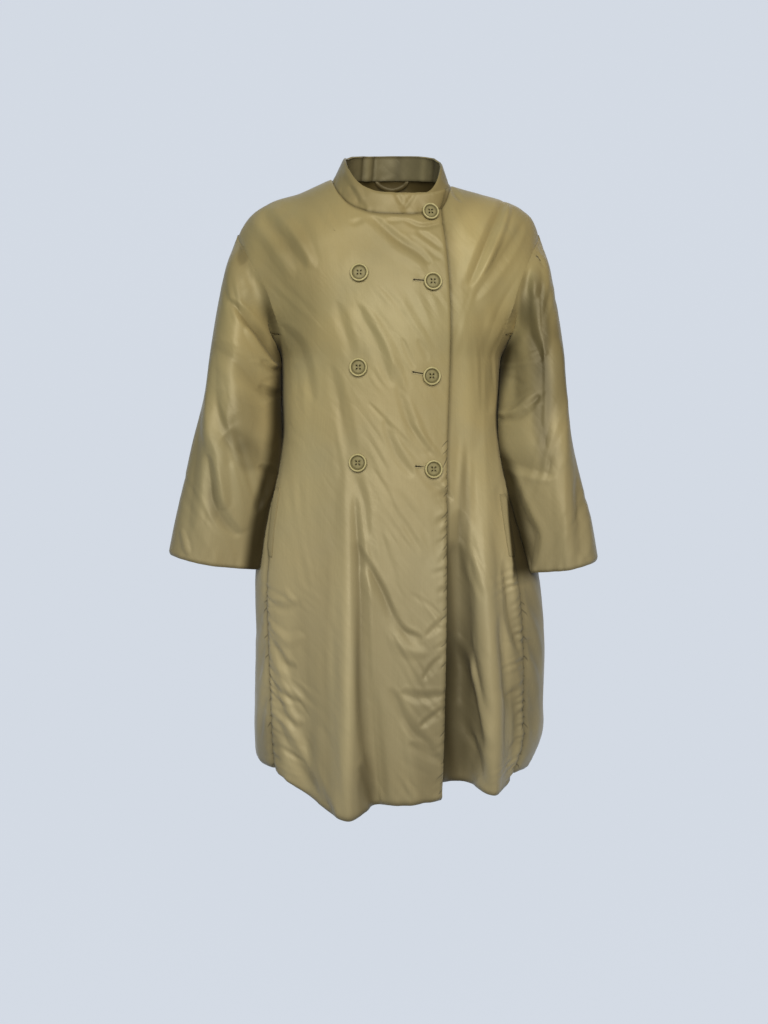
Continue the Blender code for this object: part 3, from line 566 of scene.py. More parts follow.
def run_along(points: Array, axis: int) -> Array:
    """Measure the run of a grid of places along its rows or columns, from 0.

    Args:
        points: The places.
        axis: 0 down the columns, 1 along the rows.

    Returns:
        The run at each place.
    """
    steps = np.linalg.norm(np.diff(points, axis=axis), axis=-1)
    start = np.zeros_like(np.take(steps, [0], axis=axis))
    return np.concatenate([start, np.cumsum(steps, axis=axis)], axis=axis)


def on_line(at: Array | float, run: Array, line: Array) -> Array:
    """Read a line of places at runs along it."""
    return np.stack([np.interp(at, run, column) for column in line.T], axis=-1)


def even_line(line: Array, count: int) -> tuple[Array, Array]:
    """Spread places evenly over a line.

    Args:
        line: Places along the line.
        count: How many to spread.

    Returns:
        The new places and their runs.
    """
    run = run_along(line, 0)
    even = np.linspace(0.0, run[-1], count)
    return on_line(even, run, line), even


def lattice_noise(u: Array, v: Array, seed: int) -> Array:
    """Give smooth noise between about -1 and 1 on a square lattice.

    Args:
        u: Places across, in lattice steps.
        v: Places along, in lattice steps.
        seed: Which of the noises it is.

    Returns:
        The noise at those places.
    """
    turns = np.random.default_rng(seed).uniform(0.0, 2 * math.pi, (LATTICE, LATTICE))
    cell_u, cell_v = np.floor(u).astype(int), np.floor(v).astype(int)
    part_u, part_v = u - cell_u, v - cell_v
    soft_u, soft_v = ease(part_u, 0.0, 1.0), ease(part_v, 0.0, 1.0)
    total = np.zeros_like(part_u)
    for du in (0, 1):
        for dv in (0, 1):
            turn = turns[(cell_u + du) % LATTICE, (cell_v + dv) % LATTICE]
            pull = np.cos(turn) * (part_u - du) + np.sin(turn) * (part_v - dv)
            total += pull * (soft_u if du else 1 - soft_u) * (soft_v if dv else 1 - soft_v)
    return NOISE_GAIN * total


def total_height(make: Callable, table: tuple, across: Array, up: Array) -> Array:
    """Add up how far all creases or ripples of a table move the cloth out.

    Args:
        make: Makes one of them from a row's values.
        table: The rows.
        across: Places across the coat.
        up: Heights of those places.

    Returns:
        Distance out of the cloth, below zero for a dent.
    """
    total = np.zeros_like(across)
    for row in table:
        total += make(*row).height_at(across, up)
    return total


@dataclass(frozen=True)
class Crease:
    """A dent or a swell along one line of the cloth, in metres."""

    line: Array
    half_width: float
    height: float
    profile: Profile
    end_width: float = 0.3
    # How fast a tuck falls on its steep side and on its flat side, against a plain crease
    tuck_sides: Pair = (2.2, 0.8)
    tent_foot: float = 1.5
    tent_round: float = 0.12
    soft_share: float = 0.35
    # Swell beside the crease: height, distance and width as shares of the crease's own
    swell: Triple = (0.25, 1.8, 0.8)

    @classmethod
    def from_row(cls, profile: Profile, half_width: float, height: float, *line: Pair) -> "Crease":
        """Make a crease from a row of a table in millimetres.

        Args:
            profile: How it falls away.
            half_width: Half of its width.
            height: Height out of the cloth.
            line: Places across and up.

        Returns:
            The crease.
        """
        knots = np.array(line, dtype=float) * MM
        first = knots[0] + CREASE_RUN_OUT * (knots[0] - knots[1])
        last = knots[-1] + CREASE_RUN_OUT * (knots[-1] - knots[-2])
        places = np.concatenate([[first], knots, [last]])
        steps = np.arange(len(places), dtype=float)
        at = np.linspace(0.0, steps[-1], LINE_STEPS * len(line))
        smooth = hermite(steps, places, np.gradient(places, steps, axis=0), at)
        return cls(smooth, half_width * MM, height * MM, profile)

    def height_at(self, across: Array, up: Array) -> Array:
        """Say how far the crease moves the cloth out.

        Args:
            across: Places across the coat.
            up: Heights of those places.

        Returns:
            Distance out of the cloth, below zero for a dent.
        """
        reach = CREASE_REACH * self.half_width
        low, high = self.line.min(axis=0) - reach, self.line.max(axis=0) + reach
        near = (across > low[0]) & (across < high[0]) & (up > low[1]) & (up < high[1])
        total = np.zeros_like(across)
        if not near.any():
            return total
        spots = np.stack([across[near], up[near]], axis=-1)[:, None, :]
        starts, steps = self.line[:-1], np.diff(self.line, axis=0)
        lengths = np.maximum((steps ** 2).sum(axis=-1), NO_SQUARE)
        share = np.clip(((spots - starts) * steps).sum(axis=-1) / lengths, 0.0, 1.0)
        away = spots - (starts + share[..., None] * steps)
        gaps = np.linalg.norm(away, axis=-1)
        best = gaps.argmin(axis=-1)
        pick = np.arange(len(best))
        along = (best + share[pick, best]) / len(steps)
        side = np.sign(steps[best, 0] * away[pick, best, 1] - steps[best, 1] * away[pick, best, 0])
        fade = np.sin(math.pi * np.clip(along, 0.0, 1.0))
        distance = gaps[pick, best] / at_least(self.end_width, fade)
        total[near] = self.height * fade * self._fall(distance, side)
        return total

    def _fall(self, distance: Array, side: Array) -> Array:
        """Find the share of the full height near the line.

        Args:
            distance: Distances from the line.
            side: Side of the line, -1 or 1.

        Returns:
            The shares.
        """
        share = distance / self.half_width
        if self.profile is TUCK:
            share = share * np.where(side > 0, *self.tuck_sides)
            distance = share * self.half_width
        rounded = np.hypot(distance, CREASE_ROUND) - CREASE_ROUND
        edge = 1 - rounded / (self.tent_foot * self.half_width)
        fall = (edge + np.hypot(edge, self.tent_round)) / 2
        if self.profile is SOFT:
            fall = (1 - self.soft_share) * fall + self.soft_share * bell(share, 1.0)
        swell, beside, width = self.swell
        return fall - swell * bell(side * share - beside, width)


@dataclass(frozen=True)
class CreaseScatter:
    """Many small creases strewn over a part of the cloth, lengths in millimetres."""

    low: Pair
    high: Pair
    count: int
    degrees: float
    spread: float
    length: float
    half_width: float
    height: float
    seed: int
    # Limits of the draws as shares, and the share of dents
    lengths: Pair = (0.5, 1.3)
    bows: Pair = (-0.10, 0.10)
    heights: Pair = (0.4, 1.2)
    widths: Pair = (0.7, 1.3)
    dents: float = 0.65

    def _rows(self) -> list[tuple]:
        """Draw bent lines of mixed length and height, dents more often than swells.

        Returns:
            Rows for Crease.from_row.
        """
        draw = np.random.default_rng(self.seed)
        rows = []
        for _ in range(self.count):
            middle = draw.uniform(self.low, self.high)
            turn = math.radians(self.degrees + draw.normal(0.0, self.spread))
            half = self.length * draw.uniform(*self.lengths) / 2
            way = np.array([math.cos(turn), math.sin(turn)])
            bow = np.array([-way[1], way[0]]) * half * draw.uniform(*self.bows)
            line = (middle - way * half, middle + bow, middle + way * half)
            height = self.height * draw.uniform(*self.heights) * (-1 if draw.uniform() < self.dents else 1)
            rows.append((CRISP, self.half_width * draw.uniform(*self.widths), height, *line))
        return rows

    def height_at(self, across: Array, up: Array) -> Array:
        """Add up how far the creases move the cloth out."""
        return total_height(Crease.from_row, self._rows(), across, up)


@dataclass(frozen=True)
class Ripple:
    """Straight creases side by side that come and go over a part of the cloth.

    Corners, spacing and height are in millimetres, as in a table's row, the other sizes in metres.
    """

    low: Pair
    high: Pair
    degrees: float
    spacing: float
    height: float
    seed: int
    edge: float = 0.025
    bend: float = 1.1
    bend_size: Pair = (0.17, 0.06)
    patch_size: Pair = (0.11, 0.04)
    patch_edge: Pair = (-0.05, 0.45)

    def height_at(self, across: Array, up: Array) -> Array:
        """Say how far the creases move the cloth out.

        Args:
            across: Places across the coat.
            up: Heights of those places.

        Returns:
            Distance out of the cloth, below zero for a dent.
        """
        turn = math.radians(self.degrees)
        along = across * math.cos(turn) + up * math.sin(turn)
        beside = up * math.cos(turn) - across * math.sin(turn)
        bend = self.bend * self._noise(along, beside, self.bend_size, self.seed)
        wave = 2 * np.abs(2 * ((beside / (self.spacing * MM) + bend) % 1.0) - 1) - 1
        seen = ease(self._noise(along, beside, self.patch_size, self.seed + 50), *self.patch_edge)
        for place, low, high in zip((across, up), self.low, self.high):
            seen *= ease(place - low * MM, -self.edge, self.edge)
            seen *= ease(high * MM - place, -self.edge, self.edge)
        return self.height * MM * wave * seen

    @staticmethod
    def _noise(along: Array, beside: Array, size: Pair, seed: int) -> Array:
        """Noise of a size along and beside the creases."""
        return lattice_noise(along / size[0], beside / size[1], seed)


@dataclass(frozen=True)
class Crumple:
    """Irregular soft dents all over a piece of cloth."""

    size: float
    height: float
    stretch: float
    seed: int
    bend: float = 0.6
    bend_scale: float = 0.5
    ridge_scale: float = 1.3
    shares: Pair = (0.6, 0.7)

    def height_at(self, across: Array, along: Array) -> Array:
        """Say how far the dents move the cloth out.

        Args:
            across: Run across the cloth.
            along: Run along the cloth.

        Returns:
            Distance out of the cloth, below zero for a dent.
        """
        u, v = across / self.size, along / (self.size * self.stretch)
        bend = self.bend * lattice_noise(u * self.bend_scale, v * self.bend_scale, self.seed + 7)
        broad = lattice_noise(u + bend, v - bend, self.seed)
        ridge_u, ridge_v = u * self.ridge_scale - bend, v * self.ridge_scale + bend
        ridged = 0.5 - np.abs(lattice_noise(ridge_u, ridge_v, self.seed + 1))
        broad_share, ridged_share = self.shares
        return self.height * (broad_share * broad + ridged_share * ridged)


@dataclass(frozen=True)
class PuckerRow:
    """Small puckers that run from a seam or a sewn edge into the cloth."""

    start: float
    end: float
    spacing: float
    length: float
    slope: float
    height: float
    seed: int
    # What is drawn, as shares of the spacing, length and height; a slant is added to the slope
    shifts: Pair = (-0.35, 0.35)
    lengths: Pair = (0.55, 1.3)
    slants: Pair = (-0.45, 0.45)
    heights: tuple[float, ...] = (0.15, 0.5, 0.8, 1.3)
    widths: Pair = (0.16, 0.40)
    # Swell beside a pucker: height, distance as shares of the pucker's own
    swell: Pair = (0.55, 1.5)
    full_share: float = 0.15

    def height_at(self, run: Array, distance: Array) -> Array:
        """Say how far the puckers move the cloth out.

        Args:
            run: Run along the edge.
            distance: Distance from the edge.

        Returns:
            Distance out of the cloth, below zero for a dent.
        """
        draw = np.random.default_rng(self.seed)
        total = np.zeros_like(run)
        count = max(1, int(abs(self.end - self.start) / self.spacing))
        swell, beside = self.swell
        for place in np.linspace(self.start, self.end, count):
            place = place + self.spacing * draw.uniform(*self.shifts)
            length = self.length * draw.uniform(*self.lengths)
            slope = self.slope + draw.uniform(*self.slants)
            height = self.height * draw.choice(self.heights)
            width = self.spacing * draw.uniform(*self.widths)
            offset = (run - place - slope * distance) / width
            fall = bell(offset, 1.0) - swell * bell(offset - beside, 1.0)
            total -= height * fall * (1 - ease(distance, self.full_share * length, length))
        return total


# Soft dents: size, height, stretch along the cloth, seed
FRONT_DENTS = Crumple(0.034, 0.0003, 1.6, 11)
FRONT_BROAD_DENTS = Crumple(0.085, 0.0009, 2.6, 5)
FRONT_STREAKS = Crumple(0.026, 0.0008, 11.0, 15)
STREAK_SLANT = 0.10
BACK_DENTS = Crumple(0.036, 0.0006, 1.6, 61)
BACK_STREAKS = Crumple(0.06, 0.0020, 6.0, 65)
COLLAR_DENTS = Crumple(0.03, 0.0007, 1.0, 91)
SLEEVE_DENTS = {side: Crumple(0.10, 0.0012, 1.8, 84 + side.value) for side in Side}
# Puckers: start and end of the row, spacing, length, slope, height, seed
FRONT_HEM_PUCKERS = PuckerRow(-0.18, 0.18, 0.021, 0.03, 0.1, 0.0012, 41)
LAP_EDGE_PUCKERS = PuckerRow(-0.36, -0.87, 0.017, 0.022, -0.55, 0.0015, 31)
BACK_HEM_PUCKERS = PuckerRow(0.05, 0.75, 0.022, 0.03, 0.1, 0.0012, 73)
COLLAR_FOOT_PUCKERS = PuckerRow(0.02, 0.5, 0.019, 0.016, 0.2, 0.0008, 93)
SEAM_PUCKERS = {side: PuckerRow(-0.56, -0.85, 0.012, 0.024, -0.35, 0.0017, 21 + side.value)
                for side in Side}
CUFF_PUCKERS = {side: PuckerRow(0.0, 0.42, 0.02, 0.03, 0.0, 0.0010, 86 + side.value) for side in Side}
HEAD_PUCKERS = {side: PuckerRow(0.0, 0.5, 0.018, 0.035, 0.0, 0.0010, 88 + side.value) for side in Side}


def in_scene(name: str, data: bpy.types.ID) -> Object:
    """Add an object with that data to the scene.

    Args:
        name: Name of the object.
        data: Its mesh, light or camera.

    Returns:
        The object.
    """
    thing = bpy.data.objects.new(name, data)
    bpy.context.scene.collection.objects.link(thing)
    return thing


def to_object(name: str, shape: Shape) -> Object:
    """Turn a shape into an object of the scene.

    Args:
        name: Name of the object.
        shape: The shape, which is freed.

    Returns:
        The object.
    """
    mesh = bpy.data.meshes.new(name)
    shape.to_mesh(mesh)
    shape.free()
    return in_scene(name, mesh)


def smooth_faces(shape: Shape) -> None:
    """Shade all faces of a shape smooth."""
    for face in shape.faces:
        face.smooth = True


@dataclass
class Surface:
    """A grid of places on a piece of cloth, rows first."""

    grid: Array
    turned: bool = False
    closed: bool = False
    dropped: frozenset[tuple[int, int]] = frozenset()
    shade: Array = field(init=False)
    edge: Array = field(init=False)

    def __post_init__(self) -> None:
        """Start with an even shade, far away from any sewn edge."""
        self.shade = np.full(self.grid.shape[:2], BASE_SHADE)
        self.edge = np.full(self.grid.shape[:2], FAR_AWAY)

    def normals(self) -> Array:
        """Find the outward normals of the grid.

        Returns:
            A unit vector for each place.
        """
        down = np.gradient(self.grid, axis=0)
        if self.closed:
            wide = np.concatenate([self.grid[:, -2:-1], self.grid, self.grid[:, 1:2]], axis=1)
            across = np.gradient(wide, axis=1)[:, 1:-1]
        else:
            across = np.gradient(self.grid, axis=1)
        return unit(np.cross(across, down)) * (-1.0 if self.turned else 1.0)

    def push(self, height: Array) -> None:
        """Move the cloth out along its normals and shade its dents."""
        self.grid = self.grid + self.normals() * height[..., None]
        self.darken(DENT_SHADE * np.clip(-(height + DENT_SPARED) / DENT_DEPTH, 0.0, 1.0))

    def darken(self, share: Array) -> None:
        """Shade places that little light reaches."""
        self.shade = 1 - (1 - self.shade) * (1 - share)

    def brighten(self, share: Array) -> None:
        """Take shade off places that the light reaches from the side."""
        self.shade = self.shade * (1 - share)

    def runs(self) -> tuple[Array, Array]:
        """Run across each row and down each column."""
        return run_along(self.grid, 1), run_along(self.grid, 0)

    def to_object(self, name: str) -> Object:
        """Turn the grid into a mesh object with a flat map in metres.

        Args:
            name: Name of the new object.

        Returns:
            The object, linked to the scene.
        """
        rows, columns = self.grid.shape[:2]
        across, along = self.runs()
        shape = bmesh.new()
        bmesh.ops.create_grid(shape, x_segments=columns - 1, y_segments=rows - 1, size=1.0)
        deep = shape.verts.layers.float.new("shade")
        sewn = shape.verts.layers.float.new("edge")
        spots = {}
        for vert in shape.verts:
            column = round((vert.co.x + 1) / 2 * (columns - 1))
            row = round((vert.co.y + 1) / 2 * (rows - 1))
            spots[vert] = (row, column)
        if self.dropped:
            gone = [face for face in shape.faces if min(spots[vert] for vert in face.verts) in self.dropped]
            bmesh.ops.delete(shape, geom=gone, context="FACES")
        flat = shape.loops.layers.uv.new("flat")
        for face in shape.faces:
            for loop in face.loops:
                spot = spots[loop.vert]
                loop[flat].uv = (across[spot], -along[spot])
        smooth_faces(shape)
        for vert in shape.verts:
            vert.co = Vector(self.grid[spots[vert]])
            vert[deep] = float(self.shade[spots[vert]])
            vert[sewn] = float(self.edge[spots[vert]])
        if self.turned:
            bmesh.ops.reverse_faces(shape, faces=shape.faces[:])
        if self.closed:
            bmesh.ops.remove_doubles(shape, verts=shape.verts[:], dist=MERGE_DISTANCE)
        for edge in shape.edges:
            edge.smooth = not edge.is_boundary
        return to_object(name, shape)


class CoatForm:
    """The coat's plain form, from its sections and largest folds."""

    @staticmethod
    def folds(table: Table, across: Array, height: Array) -> Array:
        """Say how far the largest folds stand out of the form.

        Args:
            table: Rows of folds.
            across: Places across the coat.
            height: Heights of those places.

        Returns:
            Distance out of the form.
        """
        total = np.zeros_like(across)
        for top, foot, top_across, foot_across, half_width, out in table:
            down = np.clip((top - height) / (top - foot), 0.0, 1.0)
            line = top_across + (foot_across - top_across) * down
            total = total + out * ease(down, 0.0, 1.0) * bell(across - line, FOLD_BELL * half_width)
        return total

    @classmethod
    def point(cls, angle: Array, height: Array) -> Array:
        """Find places of the form.

        Args:
            angle: Angles round from the front, in radians.
            height: Heights.

        Returns:
            Places in metres.
        """
        angle, height = np.broadcast_arrays(np.asarray(angle, dtype=float), height)
        half = cls.half_width(height)
        facing = np.cos(angle)
        front = facing >= 0
        depth = cls.depth(front, height)
        x = cls.middle(height) + half * np.sin(angle)
        line = np.where(front, read(SHOULDER_LINE, 1, x), read(SHOULDER_LINE, 2, x))
        under = np.clip((line - height) / SHOULDER_ROLL, 0.0, 1.0)
        roll = np.sqrt(np.clip(1 - (1 - under) ** 2, 0.0, 1.0))
        y = -np.sign(facing) * depth * np.abs(facing) ** cls.flatness(height) * roll
        out = np.where(front, cls.folds(FRONT_FOLDS, x, height), cls.folds(BACK_FOLDS, x, height))
        lean = unit(np.stack([np.sin(angle) / half, -facing / depth], axis=-1))
        return np.stack([x + out * lean[..., 0], y + out * lean[..., 1], height], axis=-1)

    @staticmethod
    def middle(height: Array) -> Array:
        """Middle of the body across the coat."""
        return read(SECTIONS, 1, height)

    @staticmethod
    def depth(front: Array, height: Array) -> Array:
        """Depth of the body where it is the front, and where it is the back."""
        return np.where(front, read(SECTIONS, 3, height), read(SECTIONS, 4, height))

    @staticmethod
    def flatness(height: Array) -> Array:
        """How round the sections are, flatter below the arms."""
        return FLATNESS + (LOW_FLATNESS - FLATNESS) * below(height, FLAT_SECTIONS)

    @staticmethod
    def half_width(height: Array) -> Array:
        """Half width of the body, tucked in behind the sleeves."""
        tuck = below(height, TUCK_TOP) * (1 - below(height, TUCK_FOOT))
        return read(SECTIONS, 2, height) - ARM_TUCK * tuck

    @classmethod
    def angle_at(cls, across: Array, height: Array) -> Array:
        """Angle round from the front of a place across the coat."""
        return np.arcsin(np.clip((across - cls.middle(height)) / cls.half_width(height), -1.0, 1.0))

    @classmethod
    def front_place(cls, across: float, height: float) -> tuple[Vector, Vector]:
        """Find a place on the right front's outside.

        Args:
            across: Place across the coat.
            height: Its height.

        Returns:
            The point and the outward normal.
        """
        step = 0.002
        places = []
        for dx, dz in ((0, 0), (step, 0), (-step, 0), (0, step), (0, -step)):
            level = np.array(height + dz)
            places.append(Vector(cls.point(cls.angle_at(across + dx, level), level)))
        normal = (places[1] - places[2]).cross(places[3] - places[4]).normalized()
        return places[0] + normal * (WALL / 2), normal


class NodeBoard:
    """Adds shader nodes to a new material and joins them."""

    def __init__(self, name: str) -> None:
        """Start a material.

        Args:
            name: Name of the material.
        """
        self.material = bpy.data.materials.new(name)
        self.material.use_nodes = True
        self.tree = self.material.node_tree
        self.shader = self.tree.nodes["Principled BSDF"]

    def set(self, **values: object) -> None:
        """Set sockets of the shader, named with _ for each space."""
        for name, value in values.items():
            self.shader.inputs[name.replace("_", " ")].default_value = value

    def add(self, kind: str, inputs: dict[str | int, object], **settings: object) -> bpy.types.Node:
        """Add a node.

        Args:
            kind: Node type without its ShaderNode prefix.
            inputs: Socket name or number to a value, or to the socket that feeds it.
            settings: The node's own settings.

        Returns:
            The new node.
        """
        node = self.tree.nodes.new("ShaderNode" + kind)
        for name, value in settings.items():
            setattr(node, name, value)
        for name, value in inputs.items():
            if isinstance(value, Socket):
                self.tree.links.new(value, node.inputs[name])
            else:
                node.inputs[name].default_value = value
        return node

    def place(self) -> Socket:
        """Object coordinates."""
        return self.add("TexCoord", {}).outputs["Object"]

    def axes(self, vector: Socket) -> list[Socket]:
        """The three numbers of a vector."""
        return self.add("SeparateXYZ", {0: vector}).outputs[:]

    def attribute(self, name: str) -> Socket:
        """A number that the mesh holds at its vertices."""
        return self.add("Attribute", {}, attribute_name=name).outputs["Fac"]

    def noise(self, place: Socket, scale: float, detail: float = 2.0, **more: float) -> Socket:
        """Noise of a scale and detail over places."""
        inputs = {"Vector": place, "Scale": scale, "Detail": detail, **more}
        return self.add("TexNoise", inputs).outputs["Fac"]

    def ramp(self, value: Socket, *ends: float, smooth: bool = False) -> Socket:
        """Map a value from between the first two ends to between the last two."""
        kind = "SMOOTHSTEP" if smooth else "LINEAR"
        return self.add("MapRange", dict(enumerate((value, *ends))), interpolation_type=kind).outputs[0]

    def maths(self, operation: str, *values: object) -> Socket:
        """Work out a number from numbers or sockets."""
        return self.add("Math", dict(enumerate(values)), operation=operation).outputs[0]

    def mix(self, share: object, first: Socket | Colour, second: Socket | Colour,
            blend: str = "MIX") -> Socket:
        """Mix two colours.

        Args:
            share: Share of the second one.
            first: First colour.
            second: Second colour.
            blend: How they are blended.

        Returns:
            The mixed colour.
        """
        first, second = (end if isinstance(end, Socket) else (*end, 1.0) for end in (first, second))
        node = self.add("Mix", {0: share, 6: first, 7: second}, data_type="RGBA", blend_type=blend)
        return node.outputs[2]

    def bump(self, height: Socket, strength: float, distance: float, **more: Socket) -> Socket:
        """Bend the normal by a height."""
        inputs = {"Height": height, "Strength": strength, "Distance": distance, **more}
        return self.add("Bump", inputs).outputs[0]

    def feed(self, socket: Socket, name: str) -> None:
        """Join a socket to one of the shader's."""
        self.tree.links.new(socket, self.shader.inputs[name])


@dataclass(frozen=True)
class TaffetaFinish:
    """Light plain-woven nylon in two tones, with a soft satin gloss; its colour also holds painted shade,
    painted sheen and painted reflection.
    """

    olive: Colour = (0.344, 0.294, 0.138)
    gold: Colour = (0.422, 0.321, 0.130)
    moss: Colour = (0.284, 0.260, 0.151)
    reflection_grey: Colour = (0.362, 0.304, 0.170)
    # Colour that painted shade darkens towards: the mesh's shade values and the pucker lines
    depth: Colour = (0.06, 0.052, 0.032)
    thread_pitch: float = 0.0006
    slub_scale: Triple = (900.0, 14.0, 1.0)
    slub_range: Pair = (0.25, 0.75)
    slub_tones: Pair = (0.965, 1.03)
    broad_scale: float = 5.0
    broad_spread: float = 1.5
    painted_sheen_share: float = 0.45
    patch_scale: float = 13.0
    patch_detail: float = 3.0
    mossy_range: Pair = (0.50, 0.78)
    mossy: float = 0.35
    painted_reflection_share: float = 0.75
    painted_reflection_levels: Pair = (-0.18, -0.60)
    gloss_range: Pair = (0.3, 0.7)
    roughness: Pair = (0.37, 0.50)
    pucker_spacing: float = 0.012
    pucker_slope: float = 0.9
    # How the spacing drifts: scale, turns
    pucker_drift: Pair = (23.0, 1.8)
    pucker_chance: Pair = (0.3, 1.0)
    pucker_lengths: Pair = (0.0015, 0.013)
    pucker_line: Pair = (0.02, 0.13)
    pucker_fade: Pair = (0.45, 1.0)
    pucker_shade: float = 0.55
    wrinkle_slant: float = math.radians(52)
    wrinkle_size: Triple = (0.09, 0.06, 0.022)
    wrinkle_roughness: float = 0.6
    # Bumps: strength, distance
    wrinkle_bump: Pair = (0.28, 0.004)
    pucker_bump: Pair = (0.6, 0.001)
    weave_bump: Pair = (0.10, 0.0001)

    def material(self, name: str) -> Material:
        """Make the material.

        Args:
            name: Name of the material.

        Returns:
            A node material on the cloth's flat map and on object coordinates.
        """
        board = NodeBoard(name)
        board.set(Metallic=0.0, IOR=1.5, Sheen_Weight=0.04, Sheen_Roughness=0.45,
                  Sheen_Tint=(0.95, 0.92, 0.75, 1.0), Specular_IOR_Level=0.35,
                  Specular_Tint=(1.0, 0.90, 0.62, 1.0))
        flat = board.add("UVMap", {}, uv_map="flat").outputs["UV"]
        place = board.place()
        level = board.axes(place)[2]
        patch = board.noise(place, self.patch_scale, self.patch_detail)
        # Olive and gold are the cloth's two tones, mixed partly at random and partly by which way the
        # surface faces across; the facing part is painted sheen for the shot cloth's shift of colour with
        # the light
        lean = board.axes(board.add("NewGeometry", {}).outputs["Normal"])[0]
        turn = board.maths("MULTIPLY_ADD", lean, self.painted_sheen_share, 0.5)
        broad = board.noise(place, self.broad_scale)
        warm = board.maths("MULTIPLY_ADD", broad, self.broad_spread, -self.broad_spread / 2)
        share = board.add("Clamp", {0: board.maths("ADD", turn, warm)}).outputs[0]
        colour = board.mix(share, self.olive, self.gold)
        colour = board.mix(board.ramp(patch, *self.mossy_range, 0.0, self.mossy), colour, self.moss)
        # Greyer towards the hem: painted reflection of the pale bluish surroundings on the lower cloth
        colour = board.mix(board.ramp(level, *self.painted_reflection_levels, 0.0, self.painted_reflection_share), colour, self.reflection_grey)
        threads = board.add("Mapping", {"Vector": flat, "Scale": self.slub_scale}).outputs[0]
        streak = board.ramp(board.noise(threads, 1.0), *self.slub_range, *self.slub_tones)
        streaks = board.add("CombineColor", {0: streak, 1: streak, 2: streak}).outputs[0]
        # Painted shade and painted light: the mesh's shade values darken the colour towards the depth colour
        dim = board.mix(board.attribute("shade"), WHITE, self.depth)
        for layer in (streaks, dim):
            colour = board.mix(1.0, colour, layer, "MULTIPLY")
        puckers = self._puckers(board, level)
        # Pucker lines are painted darker as painted shade in their creases, besides their bump
        lines = board.maths("MULTIPLY", puckers, self.pucker_shade)
        board.feed(board.mix(lines, colour, self.depth), "Base Color")
        board.feed(board.ramp(patch, *self.gloss_range, *self.roughness), "Roughness")
        board.feed(self._relief(board, flat, place, puckers), "Normal")
        return board.material

    def _puckers(self, board: NodeBoard, level: Socket) -> Socket:
        """Thin sharp puckers that run down and away from the sewn edges.

        Args:
            board: The material's nodes.
            level: Height of the place.

        Returns:
            Share of a pucker's line, 1 at its middle.
        """
        away = board.attribute("edge")
        scale, turns = self.pucker_drift
        drift = board.add("TexNoise", {"W": level, "Scale": scale, "Detail": 1.0}, noise_dimensions="1D")
        slid = board.maths("MULTIPLY_ADD", away, self.pucker_slope, level)
        evenly = board.maths("MULTIPLY", slid, 1 / self.pucker_spacing)
        run = board.maths("MULTIPLY_ADD", drift.outputs["Fac"], turns, evenly)
        turn = board.maths("FLOOR", run)
        chance = board.add("TexWhiteNoise", {"W": turn}, noise_dimensions="1D").outputs["Value"]
        length = board.ramp(chance, *self.pucker_chance, *self.pucker_lengths)
        gap = board.maths("ABSOLUTE", board.maths("SUBTRACT", board.maths("FRACT", run), 0.5))
        line = board.ramp(gap, *self.pucker_line, 1.0, 0.0, smooth=True)
        spent = board.maths("DIVIDE", away, length)
        reach = board.ramp(spent, *self.pucker_fade, 1.0, 0.0, smooth=True)
        return board.maths("MULTIPLY", line, reach)

    def _relief(self, board: NodeBoard, flat: Socket, place: Socket, puckers: Socket) -> Socket:
        """Add fine wrinkles, sharp puckers and the plain weave.

        Args:
            board: The material's nodes.
            flat: Flat map of the cloth.
            place: Object coordinates.
            puckers: Share of a pucker's line.

        Returns:
            The bent normal.
        """
        waves = []
        for axis in board.axes(flat)[:2]:
            waves.append(board.maths("SINE", board.maths("MULTIPLY", axis, math.pi / self.thread_pitch)))
        weave = board.maths("MULTIPLY", *waves)
        slant = (0.0, self.wrinkle_slant, 0.0)
        slanted = board.add("Mapping", {"Vector": place, "Rotation": slant, "Scale": self.wrinkle_size},
                            vector_type="TEXTURE").outputs[0]
        fine = board.noise(slanted, 1.0, Roughness=self.wrinkle_roughness)
        ridged = board.maths("ABSOLUTE", board.maths("SUBTRACT", fine, 0.5))
        wrinkled = board.bump(ridged, *self.wrinkle_bump)
        puckered = board.bump(board.maths("MULTIPLY", puckers, -1.0), *self.pucker_bump, Normal=wrinkled)
        return board.bump(weave, *self.weave_bump, Normal=puckered)


@dataclass(frozen=True)
class ButtonFinish:
    """Glossy khaki resin with faint swirls, darkened by painted shade from the mesh's shade values."""

    light: Colour = (0.470, 0.405, 0.195)
    dark: Colour = (0.390, 0.335, 0.150)
    painted_shade_colour: Colour = (0.105, 0.088, 0.036)
    swirl_scale: float = 90.0
    swirl_detail: float = 4.0
    swirl_bend: float = 1.5
    swirl_range: Pair = (0.35, 0.65)
    gloss_range: Pair = (0.3, 0.7)
    roughness: Pair = (0.39, 0.52)
    grain_scale: float = 900.0
    grain_bump: Pair = (0.08, 0.0002)

    def material(self, name: str) -> Material:
        """Make the material.

        Args:
            name: Name of the material.

        Returns:
            A node material on object coordinates.
        """
        board = NodeBoard(name)
        board.set(IOR=1.52, Specular_IOR_Level=0.16, Specular_Tint=(1.0, 0.93, 0.72, 1.0))
        place = board.place()
        swirl = board.noise(place, self.swirl_scale, self.swirl_detail, Distortion=self.swirl_bend)
        swirled = board.mix(board.ramp(swirl, *self.swirl_range, 0.0, 1.0), self.dark, self.light)
        board.feed(board.mix(board.attribute("shade"), swirled, self.painted_shade_colour), "Base Color")
        board.feed(board.ramp(swirl, *self.gloss_range, *self.roughness), "Roughness")
        board.feed(board.bump(board.noise(place, self.grain_scale), *self.grain_bump), "Normal")
        return board.material


